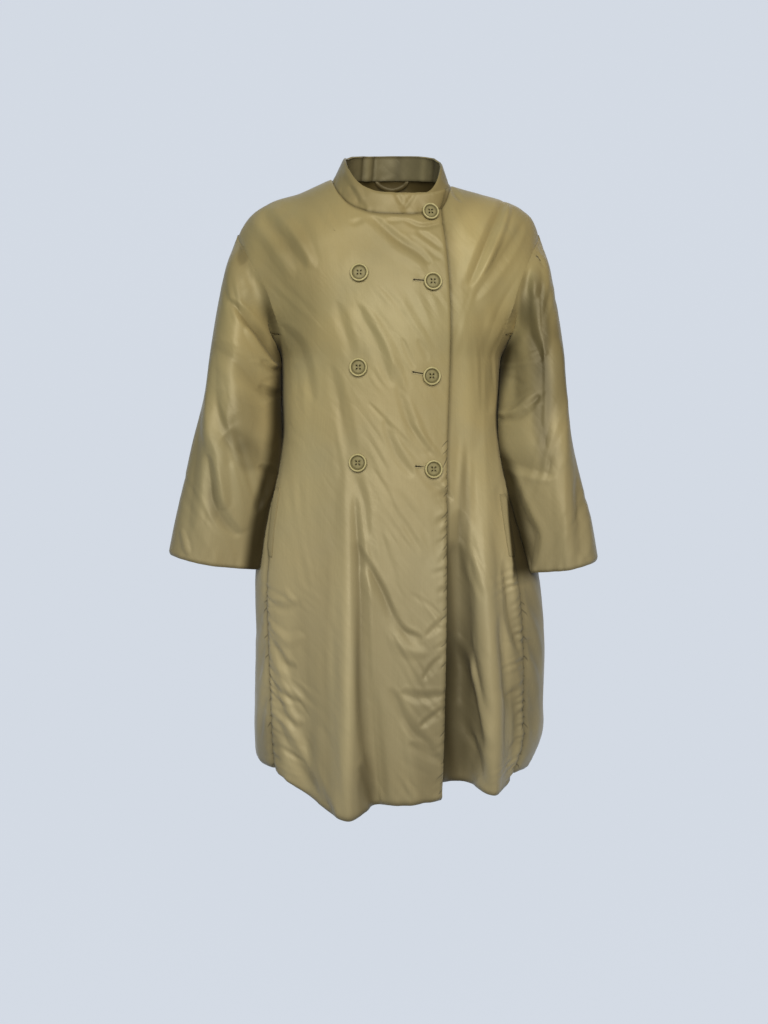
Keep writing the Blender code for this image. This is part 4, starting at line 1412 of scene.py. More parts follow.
@dataclass(frozen=True)
class ThreadFinish:
    """Twisted sewing thread."""

    light: Colour
    dark: Colour
    twist_scale: float = 1500.0
    twist_bump: Pair = (0.3, 0.0003)

    def material(self, name: str) -> Material:
        """Make the material.

        Args:
            name: Name of the material.

        Returns:
            A node material on object coordinates.
        """
        board = NodeBoard(name)
        board.set(Roughness=0.7, Sheen_Weight=0.04, Specular_IOR_Level=0.12)
        twist = board.noise(board.place(), self.twist_scale)
        board.feed(board.mix(twist, self.dark, self.light), "Base Color")
        board.feed(board.bump(twist, *self.twist_bump), "Normal")
        return board.material


@dataclass(frozen=True)
class BackdropFinish:
    """Matt pale paper that glows a little, as under even studio light."""

    colour: Colour = (0.665, 0.716, 0.791)
    places: Pair = (-0.5, 0.35)
    glow: Pair = (0.15, 0.955)

    def material(self, name: str) -> Material:
        """Make the material.

        Args:
            name: Name of the material.

        Returns:
            A node material on object coordinates.
        """
        board = NodeBoard(name)
        board.set(Base_Color=(0.04, 0.04, 0.045, 1.0), Roughness=0.95, Specular_IOR_Level=0.0,
                  Emission_Color=(*self.colour, 1.0))
        behind = board.axes(board.place())[1]
        board.feed(board.ramp(behind, *self.places, *self.glow, smooth=True), "Emission Strength")
        return board.material


@dataclass
class ClothPiece:
    """One cut piece of cloth."""

    node: str
    flat: Pair
    area: float
    rests_on: tuple[str, ...]
    thickness: float = CLOTH_THICKNESS
    shape: Surface | None = field(default=None, init=False)

    @property
    def name(self) -> str:
        """Name of the piece."""
        return self.node + "_cloth"

    def surface(self) -> Surface:
        """Work out where the cloth lies."""
        raise NotImplementedError

    def build(self, outside: Material, inside: Material) -> Object:
        """Make the piece and dress it.

        Args:
            outside: Finish of the cloth.
            inside: Finish of its inside, the same cloth painted darker as painted shade.

        Returns:
            The piece's object.
        """
        self.shape = self.surface()
        piece = self.shape.to_object(self.name)
        self.dress(piece, outside, inside)
        across, along = self.shape.runs()
        LOG.info("%s: %d faces, %.3f m by %.3f m, %.4f m2", self.name, len(piece.data.polygons),
                 across[:, -1].max(), along[-1].max(), sum(face.area for face in piece.data.polygons))
        return piece

    def dress(self, piece: Object, outside: Material, inside: Material) -> None:
        """Give the piece its wall and finish, hang it on the coat's body and hide its solid.

        Args:
            piece: The piece's object.
            outside: Finish of the cloth.
            inside: Finish of its inside, the same cloth painted darker as painted shade.
        """
        wall = piece.modifiers.new("wall", "SOLIDIFY")
        wall.thickness = self.thickness
        wall.offset = 0.0
        wall.use_quality_normals = True
        wall.material_offset = 1
        piece.data.materials.append(outside)
        piece.data.materials.append(inside)
        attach(piece, "root")
        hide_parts(self.node)


@dataclass
class Armhole:
    """The line along which a sleeve is set in, and the soft hollow over it."""

    side: Side
    points: int = 150
    steps: int = 120
    near: float = 0.16
    fill: float = 0.0085
    reach: float = 0.034
    way_out: Triple = (0.45, 0.9, 0.1)
    way_depth: float = 0.04
    filled_from: Pair = (-TIP_HEIGHT, 0.125)
    filled_to: Pair = (0.175, 0.21)

    def loop(self) -> Array:
        """Find the line of the armhole, closed.

        Returns:
            Places from under the arm up the back, over the tip and down the front.
        """
        down = np.linspace(TIP_HEIGHT, FRONT_ARMHOLE[0][0], self.steps)
        under = np.linspace(UNDERARM[0][0], UNDERARM_TURN, self.steps)[1:]
        up = np.linspace(BACK_ARMHOLE[0][0], TIP_HEIGHT, self.steps)[1:]
        degrees = np.concatenate([read(FRONT_ARMHOLE, 1, down), under, read(BACK_ARMHOLE, 1, up)])
        heights = np.concatenate([down, read(UNDERARM, 1, under), up])
        places = CoatForm.point(self.side.value * np.radians(degrees), heights)
        loop, _ = even_line(places, self.points + 1)
        turned = np.roll(loop[:-1], -self.points // 2, axis=0)
        return np.concatenate([turned, turned[:1]])

    def soften(self, grid: Array) -> Array:
        """Fill the sharp valley between body and sleeve.

        Args:
            grid: Places of the body's or the sleeve's cloth.

        Returns:
            The places moved out near the armhole, alike on both sides of it.
        """
        loop = self.loop()[:-1]
        flat = grid.reshape(-1, 3).copy()
        near = np.flatnonzero(np.linalg.norm(flat - loop.mean(axis=0), axis=-1) < self.near)
        gaps = np.linalg.norm(flat[near, None, :] - loop[None, :, :], axis=-1)
        best = gaps.argmin(axis=-1)
        share = np.clip(1 - gaps[np.arange(len(near)), best] / self.reach, 0.0, 1.0)
        height = loop[best, 2]
        strength = below(height, self.filled_from) * (1 - below(height, self.filled_to))
        forward = np.clip(loop[best, 1] / self.way_depth, -1.0, 1.0)
        signs = np.stack([np.full(len(near), self.side.value), forward, np.ones(len(near))], axis=-1)
        flat[near] += unit(signs * self.way_out) * (self.fill * strength * share ** 2)[:, None]
        return flat.reshape(grid.shape)


def turned_in(distance: Array, reach: float, depth: float) -> Array:
    """Dent of an edge that is turned in, by the distance from it."""
    return -depth * np.clip(1 - distance / reach, 0.0, 1.0) ** 2


def seam_dent(distance: Array, depth: float = SEAM_DEPTH) -> Array:
    """Dent along a sewn seam, by the distance from it."""
    return -depth * bell(distance, SEAM_WIDTH)


def edge_shade(distance: Array, width: float = SEAM_WIDTH) -> Array:
    """Shade along a seam or a turned edge, by the distance from it."""
    return EDGE_SHADE * bell(distance, width)


def gap_shade(side: Side, across: Array, height: Array, on_sleeve: bool) -> Array:
    """Share of painted shade for the light that is lost in the gap between body and sleeve.

    Args:
        side: Side of the gap.
        across: Places across the coat.
        height: Heights of those places.
        on_sleeve: Whether the places are on the sleeve or on the body.

    Returns:
        Shade between 0 and 1.
    """
    edge = read(side.pick(GAP_RIGHT, GAP_LEFT), 2 if on_sleeve else 1, height)
    out = side.value * (across - edge)
    level = below(height, GAP_TOP) * (1 - below(height, GAP_FOOT))
    inside = 1 - ease(out, *SLEEVE_GAP_EDGE) if on_sleeve else ease(out, *BODY_GAP_EDGE)
    return GAP_SHADE * inside * level


def painted_side_light(across: Array, height: Array) -> Array:
    """Light painted onto the sides of the body below the arms."""
    share = np.abs(across - CoatForm.middle(height)) / CoatForm.half_width(height)
    return ease(share, *LIT_SHARES) * below(height, LIT_SIDES)


def spot_share(table: Table, across: Array, height: Array) -> Array:
    """Find the painted shade or painted light of a table's broad spots.

    Args:
        table: Rows of spots.
        across: Places across the coat.
        height: Heights of those places.

    Returns:
        Shares between 0 and 1.
    """
    left = np.ones_like(across)
    for x, z, half_width, half_height, share in table:
        away = np.hypot((across - x) / half_width, (height - z) / half_height)
        left = left * (1 - share * (1 - ease(away, *SPOT_EDGE)))
    return 1 - left


def button_calm(across: Array, height: Array) -> tuple[Array, Array]:
    """Calm the cloth near the buttons.

    Args:
        across: Places across the coat.
        height: Heights of those places.

    Returns:
        Share of the creases that is left, and the dent that the buttons press.
    """
    least, start, end = BUTTON_CALM
    depth, width = BUTTON_DENT
    share = np.ones_like(across)
    dent = np.zeros_like(across)
    for _, x, z, size in BUTTONS:
        away = np.hypot(across - x, height - z)
        radius = size * BUTTON_RADIUS
        share = share * at_least(least, ease(away, start * radius, end * radius))
        dent = dent - depth * bell(away, width * BUTTON_RADIUS)
    return share, dent


@dataclass
class FrontPanel(ClothPiece):
    """A front, from the neck and shoulder to the hem."""

    side: Side = Side.RIGHT
    neck_columns: int = 54
    shoulder_columns: int = 74
    rows: int = 360
    crowding: float = 1.15
    over_crowding: float = 1.12
    under_crowding: float = 1.3
    hem_level: float = -0.86
    lap_gap: float = 0.004
    # Where the inset of the lap ends, across: at the neck, farther down
    lap_ends: Pair = (0.088, 0.14)
    # Shadow beside the lap: at the top, how much more at the hem
    lap_shadow: Pair = (0.12, 0.58)
    lap_shadow_width: Pair = (0.016, 0.02)
    # Thin painted shadow line at the lap: where it begins to fade, where it ends
    lap_shadow_line: Pair = (0.001, 0.005)
    # Share of the fine dents and of the broad ones that is left in the upper part
    dents_above: Pair = (0.35, 0.5)
    tuck_columns: float = 8.0

    def _angles(self, shares: Array, heights: Array) -> Array:
        """Find where the panel's columns run.

        Args:
            shares: Share of the way from the front edge to the side.
            heights: Heights.

        Returns:
            Angles round from the front, in radians.
        """
        side = self.side.value
        edge = read(FRONT_EDGE, 1, heights) if side < 0 else np.full_like(heights, UNDER_EDGE)
        start = CoatForm.angle_at(edge, heights)
        seam = read(SIDE_SEAM, self.side.pick(1, 2), heights)
        degrees = np.where(heights > FRONT_ARMHOLE[0][0], read(FRONT_ARMHOLE, 1, heights), seam)
        degrees = np.where(heights > TIP_HEIGHT, 90.0, degrees)
        return start + shares * (side * np.radians(degrees) - start)

    def _lap_inset(self, points: Array) -> Array:
        """Set the left front in behind the right front.

        Args:
            points: Places of the plain form.

        Returns:
            Distance in, zero for the right front.
        """
        if self.side is Side.RIGHT:
            return np.zeros(points.shape[:-1])
        height = points[..., 2]
        start = read(FRONT_EDGE, 1, height) + self.lap_gap
        narrow, wide = self.lap_ends
        end = np.maximum(narrow + (wide - narrow) * below(height, LAP_WIDENS), start + self.lap_gap)
        depth = LAP_INSET + LAP_INSET_GROWTH * below(height, LAP_DEEPENS)
        return depth * (1 - ease(points[..., 0], start, end))

    def _plain(self) -> Surface:
        """Lay out the panel before it is creased.

        Returns:
            Rows from the top edge to the hem.
        """
        side = self.side.value
        neck = self.side.pick(NECK_RIGHT, NECK_LEFT)
        level = np.array(0.0)
        start = float(CoatForm.angle_at(self.side.pick(FRONT_EDGE[1][1], UNDER_EDGE), level))
        whole = side * math.pi / 2 - start
        neck_share = (float(CoatForm.angle_at(neck, level)) - start) / whole
        even = np.linspace(0.0, 1.0, self.neck_columns + 1)
        near = even ** self.over_crowding if side < 0 else 1 - (1 - even) ** self.under_crowding
        far = np.linspace(neck_share, 1.0, self.shoulder_columns + 1)
        shares = np.concatenate([neck_share * near, far[1:]])
        across = CoatForm.middle(level) + read(SECTIONS, 2, level) * np.sin(start + shares * whole)
        on_neck = side * across <= side * neck + TINY
        top = np.where(on_neck, read(NECK_LINE, 1, across), read(SHOULDER_LINE, 1, across))
        foot = np.full_like(shares, self.hem_level)
        foot_across = CoatForm.point(self._angles(shares, foot), foot)[..., 0]
        hem = read(self.side.pick(HEM_RIGHT, HEM_LEFT), 1, foot_across)
        down = np.linspace(0.0, 1.0, self.rows + 1) ** self.crowding
        heights = top + down[:, None] * (hem - top)
        grid = CoatForm.point(self._angles(np.broadcast_to(shares, heights.shape), heights), heights)
        shape = Surface(grid, turned=side > 0)
        shape.grid = grid - shape.normals() * self._lap_inset(grid)[..., None]
        shape.grid = Armhole(self.side).soften(shape.grid)
        return shape

    def _creases(self, x: Array, z: Array) -> Array:
        """Add up the panel's creases, ripples and soft dents.

        Args:
            x: Places across the coat.
            z: Heights of those places.

        Returns:
            Distance out of the cloth, below zero for a dent.
        """
        height = CREASE_GAIN * total_height(Crease.from_row, FRONT_CREASES, x, z)
        height += total_height(Crease.from_row, self.side.pick(RIGHT_CREASES, LEFT_CREASES), x, z)
        height += total_height(CreaseScatter, FRONT_STREWN, x, z)
        height += total_height(Ripple, FRONT_RIPPLES, x, z)
        lower = below(z, LOWER_PART)
        broad = FRONT_BROAD_DENTS.height_at(x, z) + FRONT_STREAKS.height_at(x + STREAK_SLANT * z, z)
        fine_above, broad_above = self.dents_above
        height += FRONT_DENTS.height_at(x, z) * at_least(fine_above, lower)
        return height + broad * at_least(broad_above, lower)

    def _lap_shade(self, shape: Surface, x: Array, z: Array) -> None:
        """Shade the left front beside the edge that laps over it.

        Args:
            shape: The panel.
            x: Places across the coat.
            z: Heights of those places.
        """
        past = x - read(FRONT_EDGE, 1, z)
        narrow, more_width = self.lap_shadow_width
        faint, more = self.lap_shadow
        beside = 1 - ease(past, 0.0, narrow + more_width * below(z, LAP_SHADOW_WIDENS))
        shape.darken(beside * (faint + more * below(z, LAP_SHADOW_DARKENS)))
        shape.darken(EDGE_SHADE * (1 - ease(past, *self.lap_shadow_line)))

    def surface(self) -> Surface:
        """Crease the panel, turn in its edges and pucker its seams.

        Returns:
            The finished panel.
        """
        shape = self._plain()
        x, z = shape.grid[..., 0], shape.grid[..., 2]
        across, along = shape.runs()
        to_seam, to_hem = across[:, -1:] - across, along[-1:] - along
        calm, dent = button_calm(x, z)
        height = self._creases(x, z) * calm
        height = height * ease(to_seam, 0.0, SEAM_FADE) * ease(along, 0.0, SEAM_FADE) + dent
        below_arm = below(z, BELOW_ARM)
        height += seam_dent(to_seam) * below_arm + seam_dent(along, NECK_SEAM_DEPTH)
        height += turned_in(to_hem, *HEM_TURN) + SEAM_PUCKERS[self.side].height_at(z, to_seam)
        height += FRONT_HEM_PUCKERS.height_at(x, to_hem)
        shape.edge = to_seam + FAR_AWAY * (1 - below(z, SEAM_PUCKERED))
        if self.side is Side.RIGHT:
            height += LAP_EDGE_PUCKERS.height_at(z, across) + turned_in(across, *HEM_TURN)
            shape.edge = np.minimum(shape.edge, across + FAR_AWAY * (1 - below(z, EDGE_PUCKERED)))
        else:
            self._lap_shade(shape, x, z)
        # Painted light on the sides and on broad spots; painted shade in the gap under the arm, on broad
        # spots, along the hem and the seams
        shape.brighten(painted_side_light(x, z))
        shape.brighten(spot_share(PAINTED_LIGHT_SPOTS, x, z))
        shape.darken(gap_shade(self.side, x, z, False))
        shape.darken(spot_share(PAINTED_SHADE_SPOTS, x, z))
        seams = edge_shade(to_hem, HEM_SHADE_WIDTH) + edge_shade(along)
        shape.darken(seams + SEAM_SHADE * edge_shade(to_seam) * below_arm)
        shape.push(height)
        on_shoulder = ease(np.arange(x.shape[1]) - self.neck_columns, 0.0, self.tuck_columns)
        shape.grid[0, :, 1] += SEAM_TUCK * on_shoulder
        shape.grid[0, :, 2] -= SEAM_TUCK / 2 * on_shoulder
        return shape


@dataclass
class BackPanel(ClothPiece):
    """The back, between the two side seams."""

    side_columns: int = 26
    shoulder_columns: int = 30
    neck_columns: int = 40
    top_rows: int = 58
    lower_rows: int = 150
    crowding: float = 1.3
    # Radians from the middle of the back over which the hem rises
    hem_turn: Pair = (0.9, 2.0)
    # Depths over which the creases of the back set in, and over which the side light ends
    behind_from: Pair = (-0.02, 0.03)
    ahead_to: Pair = (0.0, 0.06)
    dents_above: float = 0.4

    def _base(self) -> Array:
        """Spread the columns at the foot of the armholes.

        Returns:
            Angles round from the front, in radians.
        """
        turn = math.radians(UNDERARM_TURN)
        level = np.array(0.0)
        neck_right = math.pi + float(CoatForm.angle_at(NECK_RIGHT, level))
        neck_left = math.pi + float(CoatForm.angle_at(NECK_LEFT, level))
        right = np.linspace(math.pi / 2, neck_right, self.shoulder_columns + 1)
        swing = (1 - np.cos(np.linspace(0.0, math.pi, self.neck_columns + 1))) / 2
        neck = (neck_right + swing * (neck_left - neck_right))[1:]
        left = np.linspace(neck_left, 1.5 * math.pi, self.shoulder_columns + 1)[1:]
        middle = np.concatenate([right, neck, left])
        middle = math.pi - (math.pi - middle) * (math.pi - turn) / (math.pi / 2)
        side = np.linspace(math.radians(UNDERARM[0][0]), turn, self.side_columns + 1)[:-1]
        return np.concatenate([side, middle, (2 * math.pi - side)[::-1]])

    def _plain(self) -> Surface:
        """Lay out the back before it is creased.

        Returns:
            Rows from the top edge to the hem, the cells under the arms left out.
        """
        base = self._base()
        level = np.array(0.0)
        on_right = base <= math.pi
        fold = np.minimum(base, 2 * math.pi - base)
        split = read(UNDERARM, 1, np.degrees(fold))
        reach = (math.pi - base) / (math.pi - math.radians(UNDERARM_TURN))
        top_angles = math.pi - np.clip(reach, -1.0, 1.0) * math.pi / 2
        across = CoatForm.middle(level) - read(SECTIONS, 2, level) * np.sin(top_angles)
        on_neck = (across > NECK_RIGHT - TINY) & (across < NECK_LEFT + TINY)
        top = np.where(on_neck, read(NECK_LINE, 2, across), read(SHOULDER_LINE, 2, across))
        hem = HEM_BACK + HEM_BACK_RISE * ease(math.pi - base, *self.hem_turn)
        crowd = np.linspace(0.0, 1.0, self.top_rows + 1) ** self.crowding
        even = np.linspace(0.0, 1.0, self.lower_rows + 1)[1:]
        upper, lower = top + crowd[:, None] * (split - top), split + even[:, None] * (hem - split)
        heights = np.concatenate([upper, lower])
        open_angle = np.where(heights > TIP_HEIGHT, 90.0, read(BACK_ARMHOLE, 1, heights))
        spread = math.pi - reach * (math.pi - np.radians(open_angle))
        seam = np.where(on_right, read(SIDE_SEAM, 1, heights), read(SIDE_SEAM, 2, heights))
        share = (math.pi - fold) / (math.pi - fold[0])
        lower_fold = math.pi - share * (math.pi - np.radians(seam))
        lower_angle = np.where(on_right, lower_fold, 2 * math.pi - lower_fold)
        is_upper = np.arange(heights.shape[0])[:, None] < self.top_rows
        grid = CoatForm.point(-np.where(is_upper, spread, lower_angle), heights)
        for arm in Side:
            grid = Armhole(arm).soften(grid)
        last = len(base) - 1
        cut = [*range(self.side_columns), *range(last - self.side_columns, last)]
        return Surface(grid, dropped=frozenset(product(range(self.top_rows), cut)))

    def _creases(self, x: Array, z: Array, across: Array, behind: Array) -> Array:
        """Add up the back's creases, ripples and soft dents.

        Args:
            x: Places across the coat.
            z: Heights of those places.
            across: Run across the back.
            behind: Share that faces backwards.

        Returns:
            Distance out of the cloth, below zero for a dent.
        """
        height = CREASE_GAIN * total_height(Crease.from_row, BACK_CREASES, x, z) * behind
        height += total_height(Crease.from_row, SIDE_CREASES, x, z) * (1 - behind)
        height += total_height(Ripple, BACK_RIPPLES, x, z) * behind
        dents = BACK_DENTS.height_at(across, z) + BACK_STREAKS.height_at(across, z)
        return height + dents * at_least(self.dents_above, below(z, LOWER_PART))

    def surface(self) -> Surface:
        """Crease the back, turn in its hem and pucker its seams.

        Returns:
            The finished back.
        """
        shape = self._plain()
        x, y, z = np.moveaxis(shape.grid, -1, 0)
        across, along = shape.runs()
        from_left = across[:, -1:] - across
        to_seam, to_hem = np.minimum(across, from_left), along[-1:] - along
        is_lower = np.arange(shape.grid.shape[0])[:, None] >= self.top_rows
        first, last = self.side_columns, across.shape[1] - 1 - self.side_columns
        to_arm = np.minimum(across - across[:, first:first + 1], across[:, last:last + 1] - across)
        to_side = np.where(is_lower, to_seam, np.maximum(to_arm, 0.0))
        height = self._creases(x, z, across, ease(y, *self.behind_from))
        height = height * ease(to_side, 0.0, SEAM_FADE) * ease(along, 0.0, SEAM_FADE)
        below_arm = below(z, BELOW_ARM)
        height += seam_dent(to_seam) * below_arm + seam_dent(along, NECK_SEAM_DEPTH)
        height += turned_in(to_hem, *HEM_TURN) + BACK_HEM_PUCKERS.height_at(across, to_hem)
        ahead = 1 - ease(y, *self.ahead_to)
        shape.edge = to_seam + FAR_AWAY * (1 - below(z, SEAM_PUCKERED))
        # Painted light on the sides; painted shade in the gaps under the arms, on broad spots, along the hem
        # and the side seams
        shape.brighten(painted_side_light(x, z) * ahead)
        for side in Side:
            height += is_lower * SEAM_PUCKERS[side].height_at(z, side.pick(across, from_left))
            shape.darken(is_lower * gap_shade(side, x, z, False) * ahead)
        shape.darken(spot_share(PAINTED_SHADE_SPOTS, x, z) * ahead)
        shape.darken(edge_shade(to_hem, HEM_SHADE_WIDTH) + SEAM_SHADE * edge_shade(to_seam) * below_arm)
        shape.push(height)
        return shape

    def neck_edge(self) -> Array:
        """Places of the back neck, from the right to the left."""
        first = self.side_columns + self.shoulder_columns
        return self.shape.grid[0, first:first + self.neck_columns + 1]


@dataclass
class Sleeve(ClothPiece):
    """A wide sleeve set into a dropped armhole."""

    side: Side = Side.RIGHT
    around: int = 200
    rows: int = 200
    inner_set: float = 0.018
    inner_turn: Pair = (-0.2, 1.0)
    wrap_turn: Pair = (-0.2, 0.5)
    clear_run: float = 0.03
    head_lift: float = 0.35
    head_follow: float = 0.75
    head_agrees: float = 0.8
    back_shift: float = 0.03
    head_height: float = 0.15
    head_scale: float = 0.02
    head_levels: Pair = (-0.16, -0.07)
    dent_ring: float = 0.06
    # Columns from the tip of the shoulder: where something starts, where it is whole
    foot_columns: Pair = (40.0, 70.0)
    tip_columns: Pair = (1.0, 7.0)
    tuck_columns: Pair = (30.0, 45.0)
    tip_tuck: float = 0.1
    # Run from the seam where creases set in at the foot of the armhole
    calm_from: float = 0.010
    # Run where they are whole: at the tip, how much later at the foot
    calm_to: Pair = (0.03, 0.05)
    cuff_shade: float = 0.8

    def _head_slopes(self, keys: Array) -> Array:
        """Slopes in which the sleeve leaves the armhole, in line with the body where it can.

        Args:
            keys: The sleeve's rings, the armhole first.

        Returns:
            One slope for each place round the armhole, for a run of the mean step.
        """
        loop = keys[0]
        height, none = loop[:, 2], np.zeros(len(loop))
        wide = np.concatenate([loop[-2:-1], loop, loop[1:2]])
        tangent = unit(wide[2:] - wide[:-2])
        middle = np.stack([CoatForm.middle(height), none, height], axis=-1)
        depth = CoatForm.depth(loop[:, 1] < 0, height)
        scale = np.stack([read(SECTIONS, 2, height), depth, none + self.head_height], axis=-1)
        rise = np.stack([none, none, self.head_lift * ease(height, *self.head_levels)], axis=-1)
        normal = unit((loop - middle) / scale ** 2 * self.head_scale + rise)
        beside = unit(np.cross(tangent, normal))
        inward = (beside * (loop[:-1].mean(axis=0) - loop)).sum(axis=-1)
        beside = beside * np.where(inward > 0, 1.0, -1.0)[:, None]
        straight = keys[1] - loop
        length = np.linalg.norm(straight, axis=-1, keepdims=True)
        heading = straight / length
        agree = self.head_follow * ease((beside * heading).sum(axis=-1), 0.0, self.head_agrees)[:, None]
        return unit(heading * (1 - agree) + beside * agree) * length / length.mean()

    def _body_side(self, points: Array, clear: Array) -> Array:
        """Find the side of the body beside the sleeve.

        Args:
            points: Places of the sleeve.
            clear: Clear space to keep.

        Returns:
            How far across the body reaches.
        """
        height = points[..., 2]
        depth = CoatForm.depth(points[..., 1] < 0, height)
        share = np.clip(np.abs(points[..., 1]) / (depth + clear), 0.0, 1.0)
        reach = np.sqrt(1 - share ** (2 / CoatForm.flatness(height)))
        return CoatForm.middle(height) + self.side.value * (CoatForm.half_width(height) + clear) * reach

    def _rings(self) -> Array:
        """Lay out the rings of the sleeve.

        Returns:
            One ring a row, from the armhole to the cuff.
        """
        turn = np.linspace(math.pi, 3 * math.pi, self.around + 1)
        swing = np.sign(np.sin(turn)) * np.abs(np.sin(turn)) ** SLEEVE_FLATNESS
        inner = ease(-np.cos(turn), *self.inner_turn)
        wrap = self.inner_set + (SLEEVE_WRAP - self.inner_set) * ease(-np.sin(turn), *self.wrap_turn)
        rings = [Armhole(self.side, self.around).loop()]
        for row in self.side.pick(SLEEVE_RIGHT, SLEEVE_LEFT):
            outer_x, outer_z, under_x, under_z, depth, half_depth = row
            outer, under = np.array([outer_x, depth, outer_z]), np.array([under_x, depth, under_z])
            ring = (outer + under) / 2 + np.cos(turn)[:, None] * (outer - under) / 2
            ring[:, 1] += SLEEVE_SET_BACK * inner - swing * half_depth
            ring[:, 0] -= self.side.value * inner * wrap
            rings.append(ring)
        return np.array(rings)

    def _plain(self) -> Surface:
        """Lay out the sleeve before it is creased.

        Returns:
            Rows from the armhole to the cuff.
        """
        side = self.side.value
        keys = self._rings()
        steps = np.linalg.norm(np.diff(keys, axis=0), axis=-1).mean(axis=1)
        knots = np.concatenate([[0.0], np.cumsum(steps)])
        at = np.linspace(0.0, knots[-1], self.rows + 1)
        slopes = np.gradient(keys, knots, axis=0)
        slopes[0] = self._head_slopes(keys)
        grid = hermite(knots, keys, slopes, at)
        limit = self._body_side(grid, (SLEEVE_CLEAR * ease(at, 0.0, self.clear_run))[:, None])
        grid[1:, :, 0] = side * np.maximum(side * grid[1:, :, 0], side * limit[1:])
        return Surface(Armhole(self.side).soften(grid), turned=side < 0, closed=True)

    def surface(self) -> Surface:
        """Crease the sleeve, turn in its cuff and pucker its seams.

        Returns:
            The finished sleeve.
        """
        shape = self._plain()
        x, z = shape.grid[..., 0], shape.grid[..., 2]
        lean = shape.normals()[..., 1]
        ahead = ease(-lean, 0.0, 0.5)
        across, along = shape.runs()
        to_cuff = along[-1:] - along
        creases = self.side.pick(SLEEVE_RIGHT_CREASES, SLEEVE_LEFT_CREASES)
        height = SLEEVE_GAIN * total_height(Crease.from_row, creases, x, z) * ahead
        height += total_height(Crease.from_row, creases, x, z - self.back_shift) * ease(lean, 0.0, 0.5)
        height += total_height(CreaseScatter, SLEEVE_STREWN, np.abs(x), z)
        height += total_height(Ripple, SLEEVE_RIPPLES, np.abs(x), z)
        from_tip = np.abs(np.arange(self.around + 1) - self.around / 2)
        foot = ease(from_tip, *self.foot_columns)
        short, more = self.calm_to
        start = ease(along, self.calm_from * foot, short + more * foot)
        fold = height / DENT_DEPTH * (1 - start) * foot
        angle = np.linspace(0.0, 2 * math.pi, self.around + 1)
        u = np.broadcast_to(self.dent_ring * np.cos(angle), x.shape)
        height += SLEEVE_DENTS[self.side].height_at(u, along + self.dent_ring * np.sin(angle))
        height = height * start + turned_in(to_cuff, *CUFF_TURN)
        height += CUFF_PUCKERS[self.side].height_at(across, to_cuff)
        height += HEAD_PUCKERS[self.side].height_at(across, along) * start
        height[:, -1] = height[:, 0]
        # Painted shade and painted light of the creases that fade out near the seam; painted shade in the
        # gap, on broad spots and along the cuff
        shape.darken(FOLD_SHADE * np.clip(-fold, 0.0, 1.0))
        shape.brighten(FOLD_SHADE * np.clip(fold, 0.0, 1.0))
        shape.darken(gap_shade(self.side, x, z, True))
        painted_shade_spots = self.side.pick(SLEEVE_RIGHT_PAINTED_SHADE, SLEEVE_LEFT_PAINTED_SHADE)
        shape.darken(spot_share(painted_shade_spots, x, z) * ahead)
        shape.darken(self.cuff_shade * edge_shade(to_cuff))
        shape.push(height)
        tuck = SEAM_TUCK * at_least(self.tip_tuck, ease(from_tip, *self.tip_columns))
        tuck = tuck * (1 - ease(from_tip, *self.tuck_columns))
        shape.grid[0] += tuck[:, None] * (unit(shape.grid[0] - shape.grid[3]) - 0.5 * shape.normals()[3])
        return shape


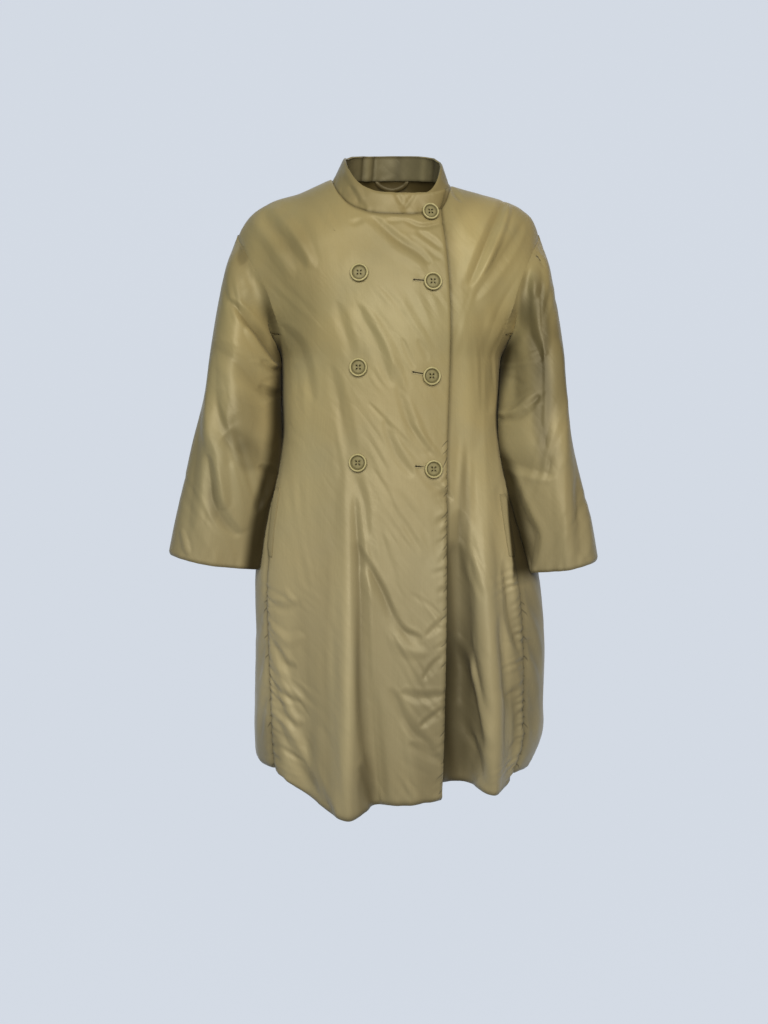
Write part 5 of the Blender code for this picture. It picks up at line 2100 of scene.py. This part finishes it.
@dataclass
class Collar(ClothPiece):
    """Stand collar, from its lapping end round the panels' neck edges."""

    right: FrontPanel | None = None
    back: BackPanel | None = None
    left: FrontPanel | None = None
    columns: int = 300
    rows: int = 18
    hidden_end: int = 4
    smooth_passes: int = 6
    neck_radii: Pair = (0.0875, 0.07)
    neck_middle: float = -0.008
    top_middle: float = -0.006
    top_shares: Pair = (0.79, 0.84)
    top_depth: float = 0.92
    seam_inset: float = 0.0002
    back_inset: float = 0.0026
    back_drop: float = 0.001
    front_dip: float = 0.0055
    right_dip: float = 0.0028
    side_dip: float = 0.003
    side_dip_width: float = 0.015
    # Depths and places across, where something starts and where it is whole
    inset_depths: Pair = (-0.025, 0.02)
    front_depths: Pair = (0.0, 0.045)
    back_depths: Pair = (0.0, 0.03)
    flare_places: Pair = (0.012, 0.069)
    right_places: Pair = (0.076, 0.089)
    facing: Pair = (0.0, 0.4)
    # Flare of the lapping end: across, in depth, down
    flare: Triple = (0.30, 0.05, 0.0020)
    bulge: float = -0.0006
    fold_lean: float = 0.08
    fold_shade: float = 0.40
    band_shade: float = 0.27
    foot_shade_width: float = 0.0022

    def _base(self) -> tuple[Array, Array]:
        """Find the foot of the band.

        Returns:
            Its places, and which lie on the lapping front.
        """
        over = self.right.shape.grid[0, :self.right.neck_columns + 1]
        under = self.left.shape.grid[0, :self.left.neck_columns + 1][::-1][1:-self.hidden_end]
        whole = np.concatenate([over, self.back.neck_edge()[1:], under])
        line, even = even_line(whole, self.columns + 1)
        for _ in range(self.smooth_passes):
            line[1:-1] = (line[:-2] + 2 * line[1:-1] + line[2:]) / 4
        return line, even <= run_along(whole, 0)[len(over) - 1]

    def _plain(self) -> tuple[Surface, Array]:
        """Lay out the band before it is creased.

        Returns:
            The band, and which share of each column is at the back.
        """
        base, is_over = self._base()
        x = base[:, 0]
        wide, deep = self.neck_radii
        out = unit(np.stack([x / wide ** 2, (base[:, 1] - self.neck_middle) / deep ** 2, 0 * x], axis=-1))
        tucked = ease(base[:, 1], *self.inset_depths)
        base = base - out * (self.seam_inset + self.back_inset * tucked)[:, None]
        base[:, 2] -= self.back_drop * tucked
        flare = np.where(is_over, ease(x, *self.flare_places), 0.0)
        flare_x, flare_y, flare_z = self.flare
        top = base.copy()
        top[:, 0] *= np.where(x < 0, *self.top_shares) + flare_x * flare
        top[:, 1] = self.top_middle + (base[:, 1] - self.top_middle) * (self.top_depth + flare_y * flare)
        top[:, 2] += COLLAR_RISE - self.front_dip * ease(-base[:, 1], *self.front_depths) - flare_z * flare
        top[:, 2] -= self.right_dip * ease(-x, *self.right_places)
        base[:, 2] -= self.side_dip * bell(base[:, 1], self.side_dip_width)
        shares = np.linspace(0.0, 1.0, self.rows + 1)[:, None, None]
        grid = top + (base - top) * shares + out * (self.bulge * np.sin(shares * math.pi))
        return Surface(grid), ease(base[:, 1], *self.back_depths)

    def surface(self) -> Surface:
        """Raise the band from the neck and crease it.

        Returns:
            The finished band.
        """
        shape, behind = self._plain()
        across, along = shape.runs()
        to_foot = along[-1:] - along
        x, z = shape.grid[..., 0], shape.grid[..., 2]
        facing = ease(-shape.normals()[..., 1], *self.facing)
        height = total_height(Crease.from_row, COLLAR_CREASES, x, z) * facing
        height += COLLAR_DENTS.height_at(across, along)
        height += turned_in(along, *COLLAR_TURN) + turned_in(across, *COLLAR_END_TURN)
        height += COLLAR_FOOT_PUCKERS.height_at(across, to_foot)
        for middle, half_width, depth in COLLAR_FOLDS:
            fold = bell(x - middle - self.fold_lean * z, half_width) * behind
            height += depth * fold
            shape.darken(self.fold_shade * fold * np.sign(depth))
        shape.darken(self.band_shade + edge_shade(to_foot, self.foot_shade_width))
        shape.push(height)
        return shape


@dataclass
class HangerLoop(ClothPiece):
    """Narrow folded strip that hangs inside the back of the neck."""

    half_span: float = 0.022
    foot: float = 0.003
    drop: float = 0.013
    roundness: float = 0.8
    width: float = 0.005
    bow: float = 0.0006
    clear: float = 0.0045
    columns: int = 61
    rows: int = 9

    def surface(self) -> Surface:
        """Hang the strip in front of the back neck.

        Returns:
            The finished strip.
        """
        turn = np.linspace(-1.0, 1.0, self.columns)
        x = self.half_span * np.sin(turn * math.pi / 2)
        z = self.foot + self.drop * (1 - np.cos(turn * math.pi / 2)) ** self.roundness
        line = np.stack([x, z], axis=-1)
        heading = unit(np.gradient(line, axis=0))
        sideways = np.stack([-heading[:, 1], heading[:, 0]], axis=-1)
        rows = []
        for offset in np.linspace(self.width / 2, -self.width / 2, self.rows):
            across, height = (line + sideways * offset).T
            points = CoatForm.point(math.pi - CoatForm.angle_at(across, height), height)
            bow = self.bow * (1 - (2 * offset / self.width) ** 2)
            points[:, 1] -= WALL / 2 + self.clear * (1 - 0.5 * turn ** 4) + bow
            rows.append(points)
        return Surface(np.array(rows))


@dataclass
class PocketEdge(ClothPiece):
    """Folded edge of an in-seam pocket, on the front beside the side seam."""

    front: FrontPanel | None = None
    top: float = -0.430
    foot: float = -0.527
    reach: float = 0.0125
    seam_gap: float = 0.0006
    # Lift off the front: at the inner side, how much more at the lip
    lift: Pair = (0.0006, 0.0026)
    lip_drop: float = 0.0010
    lip_share: float = 0.15
    end_share: float = 0.12
    rounding: float = 1.5
    smooth_passes: int = 8
    rows: int = 70
    columns: int = 12
    stitched_column: int = 2
    stitch_lift: float = 0.00015
    stitch_ends: int = 4

    def surface(self) -> Surface:
        """Lift a strip from the front's own places.

        Returns:
            The finished edge.
        """
        normals = self.front.shape.normals()
        across, _ = self.front.shape.runs()
        for _ in range(self.smooth_passes):
            normals[1:-1] = (normals[:-2] + normals[1:-1] + normals[2:]) / 3
            normals[:, 1:-1] = (normals[:, :-2] + normals[:, 1:-1] + normals[:, 2:]) / 3
        # Columns of the layers: place, normal, distance from the side seam
        layers = np.concatenate([self.front.shape.grid, unit(normals), (across[:, -1:] - across)[..., None]],
                                axis=-1)
        distances = np.linspace(self.reach, self.seam_gap, self.columns)
        near = 1 - distances / self.reach
        low, more = self.lift
        rows = []
        for height in np.linspace(self.top, self.foot, self.rows):
            share = (height - self.foot) / (self.top - self.foot)
            ends = ease(share, 0.0, self.end_share) * (1 - ease(share, 1 - self.end_share, 1.0))
            lip = np.maximum(0.0, near - 1 + self.lip_share) / self.lip_share
            lift = low + ends * more * near ** self.rounding - self.lip_drop * lip
            line = self._at_height(layers, height)[::-1]
            spots = on_line(distances, line[:, 6], line[:, :6])
            rows.append(spots[:, :3] + unit(spots[:, 3:]) * (CLOTH_THICKNESS + lift)[:, None])
        shape = Surface(np.array(rows), turned=self.front.side is Side.LEFT)
        # Painted shade of the gap beside the sleeve
        shape.darken(gap_shade(self.front.side, shape.grid[..., 0], shape.grid[..., 2], False))
        return shape

    @staticmethod
    def _at_height(layers: Array, height: float) -> Array:
        """Find the row of the front that meets the side seam at a height.

        Args:
            layers: Places, normals and distances from the seam.
            height: The height.

        Returns:
            The row's layers.
        """
        edge = layers[:, -1, 2]
        row = int(np.clip(np.searchsorted(-edge, -height) - 1, 0, len(edge) - 2))
        share = (edge[row] - height) / (edge[row] - edge[row + 1])
        return layers[row] * (1 - share) + layers[row + 1] * share

    def sew(self, thread: Material) -> None:
        """Stitch the folded edge down along its inner side.

        Args:
            thread: Finish of the thread.
        """
        sewn = (slice(self.stitch_ends, -self.stitch_ends), self.stitched_column)
        leans = self.shape.normals()[sewn]
        line = self.shape.grid[sewn] + leans * (self.thickness / 2 + self.stitch_lift)
        StitchRow(self.node + "_stitches", line, leans).build(thread)


class Ground:
    """Finds places on the outside of finished cloth, straight from the front."""

    def __init__(self, piece: Object) -> None:
        """Measure a piece with its wall on."""
        self.tree = BVHTree.FromObject(piece, bpy.context.evaluated_depsgraph_get())

    def at(self, across: float, height: float) -> tuple[Vector, Vector]:
        """Point and outward normal of the cloth at a place."""
        point, normal, _, _ = self.tree.ray_cast(Vector((across, -1.0, height)), Vector((0, 1, 0)))
        return point, normal if normal.y < 0 else -normal


def add_bead(shape: Shape, place: Matrix, size: tuple[float, ...], segments: tuple[int, int]) -> None:
    """Add a stretched sphere, as one stretch of thread.

    Args:
        shape: Shape that it is added to.
        place: Where it lies and how it is turned.
        size: Half of its width, length and height.
        segments: Segments round it and along it.
    """
    around, along = segments
    bead = bmesh.ops.create_uvsphere(shape, u_segments=around, v_segments=along, radius=1.0)["verts"]
    bmesh.ops.transform(shape, matrix=place @ Matrix.Diagonal((*size, 1.0)), verts=bead)


def turned_place(point: Vector, sideways: Vector, heading: Vector, normal: Vector) -> Matrix:
    """Place at a point, turned to three directions."""
    return Matrix.Translation(point) @ Matrix((sideways, heading, normal)).transposed().to_4x4()


def new_object(name: str, shape: Shape, material: Material) -> Object:
    """Make a smooth object from a shape and let it ride on the coat.

    Args:
        name: Name of the object.
        shape: The shape, which is freed.
        material: Its finish.

    Returns:
        The object.
    """
    smooth_faces(shape)
    piece = to_object(name, shape)
    piece.data.materials.append(material)
    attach(piece, "root")
    return piece


@dataclass
class Button:
    """Four-hole button with a raised rim, a dished middle and its thread."""

    node: str
    point: Vector
    normal: Vector
    size: float
    hole_ring: float = 0.0031
    hole_radius: float = 0.00125
    hole_shade: float = 0.95
    hole_reach: float = 1.1
    hole_segments: int = 20
    # Drill: height of its middle, length
    drill: Pair = (0.002, 0.01)
    steps: int = 72
    strand_gap: float = 0.00034
    # Strand of thread: half width, half height
    strand: Pair = (0.00022, 0.00035)
    strand_level: float = 0.0012
    strand_overhang: float = 0.0004
    strand_step: float = 0.00006
    sharp_angle: float = math.radians(50)
    # Painted shade of the button, darkest in the groove, dark in the dish and at the outer edge, lightest on
    # the rim: part of its radius, share
    painted_shade_rings: Table = ((0.55, 0.64), (0.66, 0.95), (0.75, 1.0), (0.82, 0.0), (0.94, 0.05), (1.0, 0.5))
    # Side of the button: part of its radius, height
    side: Table = (
        (0.0, 0.0), (0.86, 0.0), (0.94, 0.0004), (0.985, 0.0012), (1.0, 0.0022), (0.99, 0.0032),
        (0.955, 0.0041), (0.90, 0.0045), (0.845, 0.0044), (0.79, 0.0038), (0.75, 0.0028),
        (0.71, 0.0022), (0.66, 0.0021), (0.60, 0.0025), (0.50, 0.0026), (0.30, 0.0024), (0.0, 0.0023),
    )

    def _blank(self) -> Object:
        """Turn the button before it is drilled.

        Returns:
            The blank, its back on the ground plane.
        """
        shape = bmesh.new()
        line = [shape.verts.new((share * BUTTON_RADIUS, 0.0, height)) for share, height in self.side]
        edges = [shape.edges.new(pair) for pair in zip(line, line[1:])]
        bmesh.ops.spin(shape, geom=line + edges, cent=(0, 0, 0), axis=(0, 0, 1),
                       angle=2 * math.pi, steps=self.steps, use_merge=True)
        bmesh.ops.remove_doubles(shape, verts=shape.verts[:], dist=TINY)
        bmesh.ops.recalc_face_normals(shape, faces=shape.faces[:])
        return to_object("button_blank", shape)

    def _holes(self) -> list[Pair]:
        """Places of the four holes."""
        turns = [math.pi / 4 + quarter * math.pi / 2 for quarter in range(4)]
        return [(self.hole_ring * math.cos(turn), self.hole_ring * math.sin(turn)) for turn in turns]

    def _drilled(self) -> bpy.types.Mesh:
        """Cut the holes through the button.

        Returns:
            The finished mesh.
        """
        blank = self._blank()
        drill = bmesh.new()
        level, depth = self.drill
        for x, y in self._holes():
            bmesh.ops.create_cone(drill, cap_ends=True, segments=self.hole_segments,
                                  radius1=self.hole_radius, radius2=self.hole_radius, depth=depth,
                                  matrix=Matrix.Translation((x, y, level)))
        cutter = to_object("button_drill", drill)
        cut = blank.modifiers.new("holes", "BOOLEAN")
        cut.operation = "DIFFERENCE"
        cut.solver = "EXACT"
        cut.object = cutter
        graph = bpy.context.evaluated_depsgraph_get()
        finished = bpy.data.meshes.new_from_object(blank.evaluated_get(graph))
        bpy.data.objects.remove(blank)
        bpy.data.objects.remove(cutter)
        return finished

    def place(self) -> Matrix:
        """Where the button sits on the cloth."""
        turn = self.normal.to_track_quat("Z", "Y").to_matrix().to_4x4()
        return Matrix.Translation(self.point) @ turn @ Matrix.Scale(self.size, 4)

    def build(self, material: Material, thread: Material) -> Object:
        """Make the button and its thread.

        Args:
            material: Finish of the button.
            thread: Finish of the thread.

        Returns:
            The button's object.
        """
        shape = bmesh.new()
        shape.from_mesh(self._drilled())
        deep = shape.verts.layers.float.new("shade")
        # Painted shade on the button's rings and round its holes
        for vert in shape.verts:
            share = math.hypot(vert.co.x, vert.co.y) / BUTTON_RADIUS
            vert[deep] = float(np.interp(share, *np.transpose(self.painted_shade_rings)))
            for x, y in self._holes():
                if math.hypot(vert.co.x - x, vert.co.y - y) < self.hole_reach * self.hole_radius:
                    vert[deep] = self.hole_shade
        bmesh.ops.transform(shape, matrix=self.place(), verts=shape.verts[:])
        button = new_object(self.node + "_finished", shape, material)
        button.data.set_sharp_from_angle(angle=self.sharp_angle)
        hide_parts(self.node)
        self._sew(thread)
        LOG.info("%s: %d faces", button.name, len(button.data.polygons))
        return button

    def _sew(self, thread: Material) -> None:
        """Lead thread through the holes, as two arched bars of several strands.

        Args:
            thread: Finish of the thread.
        """
        shape = bmesh.new()
        holes = self._holes()
        width, height = self.strand
        length = self.hole_ring * math.sqrt(2) / 2 + self.strand_overhang
        for first, second in ((holes[0], holes[3]), (holes[1], holes[2])):
            for strand in (-1, 0, 1):
                x = (first[0] + second[0]) / 2 + strand * self.strand_gap
                middle = Matrix.Translation((x, (first[1] + second[1]) / 2, self.strand_level))
                size = (width, length, height - self.strand_step * abs(strand))
                add_bead(shape, middle, size, (10, 8))
        bmesh.ops.transform(shape, matrix=self.place(), verts=shape.verts[:])
        new_object(self.node + "_thread", shape, thread)


@dataclass
class Buttonhole:
    """Keyhole buttonhole with sewn bars round it, lying on the right front."""

    name: str
    eye: Pair
    end: Pair
    eye_radius: float = 0.0013
    slit_half: float = 0.0008
    slit_lift: float = 0.00012
    slit_points: int = 64
    bar_length: float = 0.0019
    bar_size: tuple[float, ...] = (0.00048, 0.00125, 0.00042)
    bars: int = 74

    def _outline(self, share: float) -> tuple[Vector, Vector]:
        """Find a place on the slit's edge.

        Args:
            share: Share of the way round.

        Returns:
            The place, and the way out from it.
        """
        start, end = Vector(self.eye), Vector(self.end)
        along = (end - start).normalized()
        beside = Vector((-along.y, along.x))
        opening = math.asin(self.slit_half / self.eye_radius)
        arc = self.eye_radius * (2 * math.pi - 2 * opening)
        straight = (end - start).length - self.eye_radius * math.cos(opening)
        run = share * (arc + 2 * straight)
        if run < straight:
            return end - along * run + beside * self.slit_half, beside
        if run > straight + arc:
            return end - along * (2 * straight + arc - run) - beside * self.slit_half, -beside
        turn = opening + (run - straight) / self.eye_radius
        way = along * math.cos(turn) + beside * math.sin(turn)
        return start + way * self.eye_radius, way

    def build(self, ground: Ground, thread: Material, shade: Material) -> None:
        """Sew the bars round the slit and lay a near-black sheet in the slit, as painted shade.

        Args:
            ground: The right front's outside.
            thread: Finish of the bars.
            shade: Finish of the open slit.
        """
        bars = bmesh.new()
        for index in range(self.bars):
            spot, way = self._outline((index + 0.5) / self.bars)
            middle = spot + way * self.bar_length / 2
            point, normal = ground.at(middle.x, middle.y)
            heading = Vector((way.x, 0.0, way.y))
            heading = (heading - normal * heading.dot(normal)).normalized()
            place = turned_place(point, normal.cross(heading), heading, normal)
            add_bead(bars, place, self.bar_size, (6, 4))
        new_object(self.name + "_bars", bars, thread)
        # A near-black sheet in the open slit, as painted shade
        slit = bmesh.new()
        rim = bmesh.ops.create_circle(slit, cap_ends=True, segments=self.slit_points, radius=1.0)["verts"]
        for index, vert in enumerate(rim):
            spot, _ = self._outline((index + 0.5) / len(rim))
            point, normal = ground.at(spot.x, spot.y)
            vert.co = point + normal * self.slit_lift
        bmesh.ops.recalc_face_normals(slit, faces=slit.faces[:])
        if slit.faces[:][0].normal.y > 0:
            bmesh.ops.reverse_faces(slit, faces=slit.faces[:])
        new_object(self.name + "_slit", slit, shade)
        LOG.info("%s: %d bars", self.name, self.bars)


@dataclass
class StitchRow:
    """Row of lock stitches along a line on the cloth."""

    name: str
    line: Array
    leans: Array
    length: float = 0.0024
    gap: float = 0.0008
    half_width: float = 0.00022
    half_height: float = 0.0002

    def build(self, thread: Material) -> Object:
        """Lay the stitches.

        Args:
            thread: Finish of the thread.

        Returns:
            One object with all the stitches.
        """
        run = run_along(self.line, 0)
        size = (self.half_width, self.length / 2, self.half_height)
        shape = bmesh.new()
        for start in np.arange(0.0, run[-1] - self.length, self.length + self.gap):
            at = start + self.length * np.array([0.0, 0.5, 1.0])
            first, middle, last = (Vector(spot) for spot in on_line(at, run, self.line))
            normal = Vector(on_line(at[1], run, self.leans)).normalized()
            heading = (last - first).normalized()
            sideways = normal.cross(heading).normalized()
            add_bead(shape, turned_place(middle, sideways, heading, normal), size, (6, 6))
        return new_object(self.name, shape, thread)


@dataclass
class Studio:
    """Camera, lights and the pale sweep that the coat is shown before."""

    camera_place: Triple = (-0.01184, -2.3, -0.2554)
    camera_pitch: float = math.radians(5.440144)
    lens: float = 54.635
    sensor_width: float = 36.0
    air_colour: Colour = (0.80, 0.86, 0.94)
    air_strength: float = 0.09
    floor_height: float = -1.45
    floor_front: float = -1.6
    bend_start: float = 2.2
    bend_radius: float = 1.6
    wall_height: float = 6.5
    sweep_half_width: float = 4.5
    # Lights: name, place, aimed at, size, watts, colour
    lights: tuple = (
        ("key", (0.0, -3.0, 0.80), (0.0, 0.0, -0.42), 2.2, 128.0, (1.0, 0.985, 0.96)),
        ("behind", (0.4, 2.2, 1.2), (0.0, 0.0, -0.4), 1.8, 4.0, (1.0, 0.99, 0.97)),
    )

    def build(self) -> None:
        """Set up the camera, the lights, the air and the sweep."""
        self._camera()
        for row in self.lights:
            self._light(*row)
        self._air()
        self._sweep()
        bpy.context.scene.view_settings.view_transform = "Standard"
        LOG.info("studio: camera, %d lights and sweep", len(self.lights))

    def _camera(self) -> None:
        """Camera at the photograph's place and angle."""
        data = bpy.data.cameras.new("camera")
        data.sensor_fit = "AUTO"
        data.sensor_width = self.sensor_width
        data.lens = self.lens
        camera = in_scene("camera", data)
        camera.location = self.camera_place
        camera.rotation_euler = (math.pi / 2 - self.camera_pitch, 0.0, 0.0)
        bpy.context.scene.camera = camera

    @staticmethod
    def _light(name: str, place: Triple, target: Triple, size: float, watts: float, colour: Colour) -> None:
        """Add one soft square light.

        Args:
            name: Name of the light.
            place: Where it stands.
            target: What it is aimed at.
            size: Its width.
            watts: Its power.
            colour: Its colour.
        """
        data = bpy.data.lights.new(name, "AREA")
        data.size = size
        data.energy = watts
        data.color = colour
        light = in_scene(name, data)
        light.location = place
        light.rotation_euler = (Vector(target) - Vector(place)).to_track_quat("-Z", "Y").to_euler()

    def _air(self) -> None:
        """Even pale light from all round."""
        world = bpy.data.worlds.new("air")
        world.use_nodes = True
        background = world.node_tree.nodes["Background"]
        background.inputs["Color"].default_value = (*self.air_colour, 1.0)
        background.inputs["Strength"].default_value = self.air_strength
        bpy.context.scene.world = world

    def _sweep(self) -> None:
        """Floor that curves up into a backdrop."""
        shape = bmesh.new()
        bmesh.ops.create_grid(shape, x_segments=4, y_segments=90, size=1.0)
        floor, wall = self.bend_start - self.floor_front, self.wall_height - self.bend_radius
        arc = self.bend_radius * math.pi / 2
        for vert in shape.verts:
            run = (vert.co.y + 1) / 2 * (floor + arc + wall)
            turn = min(max(run - floor, 0.0), arc) / self.bend_radius
            y = self.floor_front + min(run, floor) + self.bend_radius * math.sin(turn)
            z = self.bend_radius * (1 - math.cos(turn)) + max(0.0, run - floor - arc)
            vert.co = Vector((vert.co.x * self.sweep_half_width, y, self.floor_height + z))
        smooth_faces(shape)
        bmesh.ops.recalc_face_normals(shape, faces=shape.faces[:])
        sweep = to_object("sweep", shape)
        sweep.data.materials.append(BackdropFinish().material("backdrop_paper"))


class Finishes:
    """The materials of the coat."""

    def __init__(self) -> None:
        """Make the materials."""
        self.cloth = TaffetaFinish().material("khaki_taffeta")
        # The collar's inside is the same cloth painted darker, as painted shade
        facing = TaffetaFinish(olive=(0.225, 0.196, 0.102), gold=(0.250, 0.200, 0.094),
                               moss=(0.190, 0.174, 0.100), reflection_grey=(0.225, 0.192, 0.106))
        self.facing = facing.material("collar_facing")
        # The inside of the pieces is the same cloth painted much darker, as painted shade
        lining = TaffetaFinish(olive=(0.070, 0.052, 0.018), gold=(0.084, 0.058, 0.017),
                               moss=(0.060, 0.047, 0.018), reflection_grey=(0.070, 0.054, 0.021))
        self.lining = lining.material("lining")
        self.resin = ButtonFinish().material("button_resin")
        self.thread = ThreadFinish((0.42, 0.36, 0.19), (0.27, 0.22, 0.11)).material("khaki_thread")
        # Near-black thread finish, used as painted shade in the buttonhole slits and on the buttons' thread
        # in their holes
        self.shade = ThreadFinish((0.030, 0.024, 0.010), (0.014, 0.011, 0.004)).material("buttonhole_shade")


@dataclass
class Coat:
    """The whole coat."""

    loop_thickness: float = 0.0011
    # Pocket tops on the right and on the left
    pocket_tops: Pair = (-0.430, -0.440)
    # Buttonholes: name, eye across and height, end across and height
    buttonholes: tuple = (
        ("buttonhole_1", (0.030, -0.1385), (0.056, -0.1400)),
        ("buttonhole_2", (0.029, -0.2665), (0.054, -0.2710)),
        ("buttonhole_3", (0.033, -0.3975), (0.057, -0.4010)),
    )

    def build(self) -> None:
        """Build every piece in order."""
        finishes = Finishes()
        ground = self._cloth(finishes)
        for name, eye, end in self.buttonholes:
            Buttonhole(name, eye, end).build(ground, finishes.thread, finishes.shade)
        self._buttons(finishes)

    def _cloth(self, finishes: Finishes) -> Ground:
        """Build the cut pieces of cloth and the pocket stitches.

        Args:
            finishes: The coat's materials.

        Returns:
            The outside of the right front.
        """
        pair = (finishes.cloth, finishes.lining)
        behind = ("back_cloth",)
        right = FrontPanel("front_right", flat=(0.36, 0.92), area=0.27, rests_on=behind, side=Side.RIGHT)
        left = FrontPanel("front_left", flat=(0.34, 0.89), area=0.25, rests_on=behind, side=Side.LEFT)
        back = BackPanel("back", flat=(0.74, 0.88), area=0.55, rests_on=("collar_cloth",))
        right_piece = right.build(*pair)
        left.build(*pair)
        back.build(*pair)
        panels = (right.name, left.name, back.name)
        for side in Side:
            node = side.pick("sleeve_right", "sleeve_left")
            sleeve = Sleeve(node, flat=(0.44, 0.47), area=0.17, rests_on=panels, side=side)
            sleeve.build(*pair)
        collar = Collar("collar", flat=(0.64, 0.038), area=0.0224, rests_on=panels,
                        thickness=COLLAR_THICKNESS, right=right, back=back, left=left)
        collar.build(finishes.cloth, finishes.facing)
        loop = HangerLoop("hanger_loop", flat=(0.060, 0.011), area=0.00035, rests_on=behind,
                          thickness=self.loop_thickness)
        loop.build(*pair)
        for front, top in zip((right, left), self.pocket_tops):
            node = front.side.pick("pocket_right", "pocket_left")
            pocket = PocketEdge(node, flat=(0.0135, 0.12), area=0.0015, rests_on=(front.name,),
                                front=front, top=top)
            pocket.build(*pair)
            pocket.sew(finishes.thread)
        return Ground(right_piece)

    @staticmethod
    def _buttons(finishes: Finishes) -> None:
        """Sew on the two rows of buttons and the one of the collar.

        Args:
            finishes: The coat's materials.
        """
        # The buttons' thread takes the near-black shade finish, as painted shade in their holes
        for node, across, height, size in BUTTONS:
            point, normal = CoatForm.front_place(across, height)
            Button(node, point + normal * BUTTON_LIFT, normal, size).build(finishes.resin, finishes.shade)
        node, across, height, size = COLLAR_BUTTON
        point, normal = CoatForm.front_place(across, height)
        lean = Vector((normal.x, normal.y, 0)).normalized() * math.cos(COLLAR_BUTTON_TILT)
        lean.z = math.sin(COLLAR_BUTTON_TILT)
        Button(node, point + lean * COLLAR_BUTTON_LIFT, lean, size).build(finishes.resin, finishes.shade)


def main() -> None:
    """Load the frame, then build the coat, whose pieces note their sizes, and the studio."""
    logging.basicConfig(level=logging.INFO, format="%(message)s")
    for old in list(bpy.data.objects):
        bpy.data.objects.remove(old)
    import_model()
    Coat().build()
    Studio().build()
    bpy.context.view_layer.update()


if __name__ == "__main__":
    main()
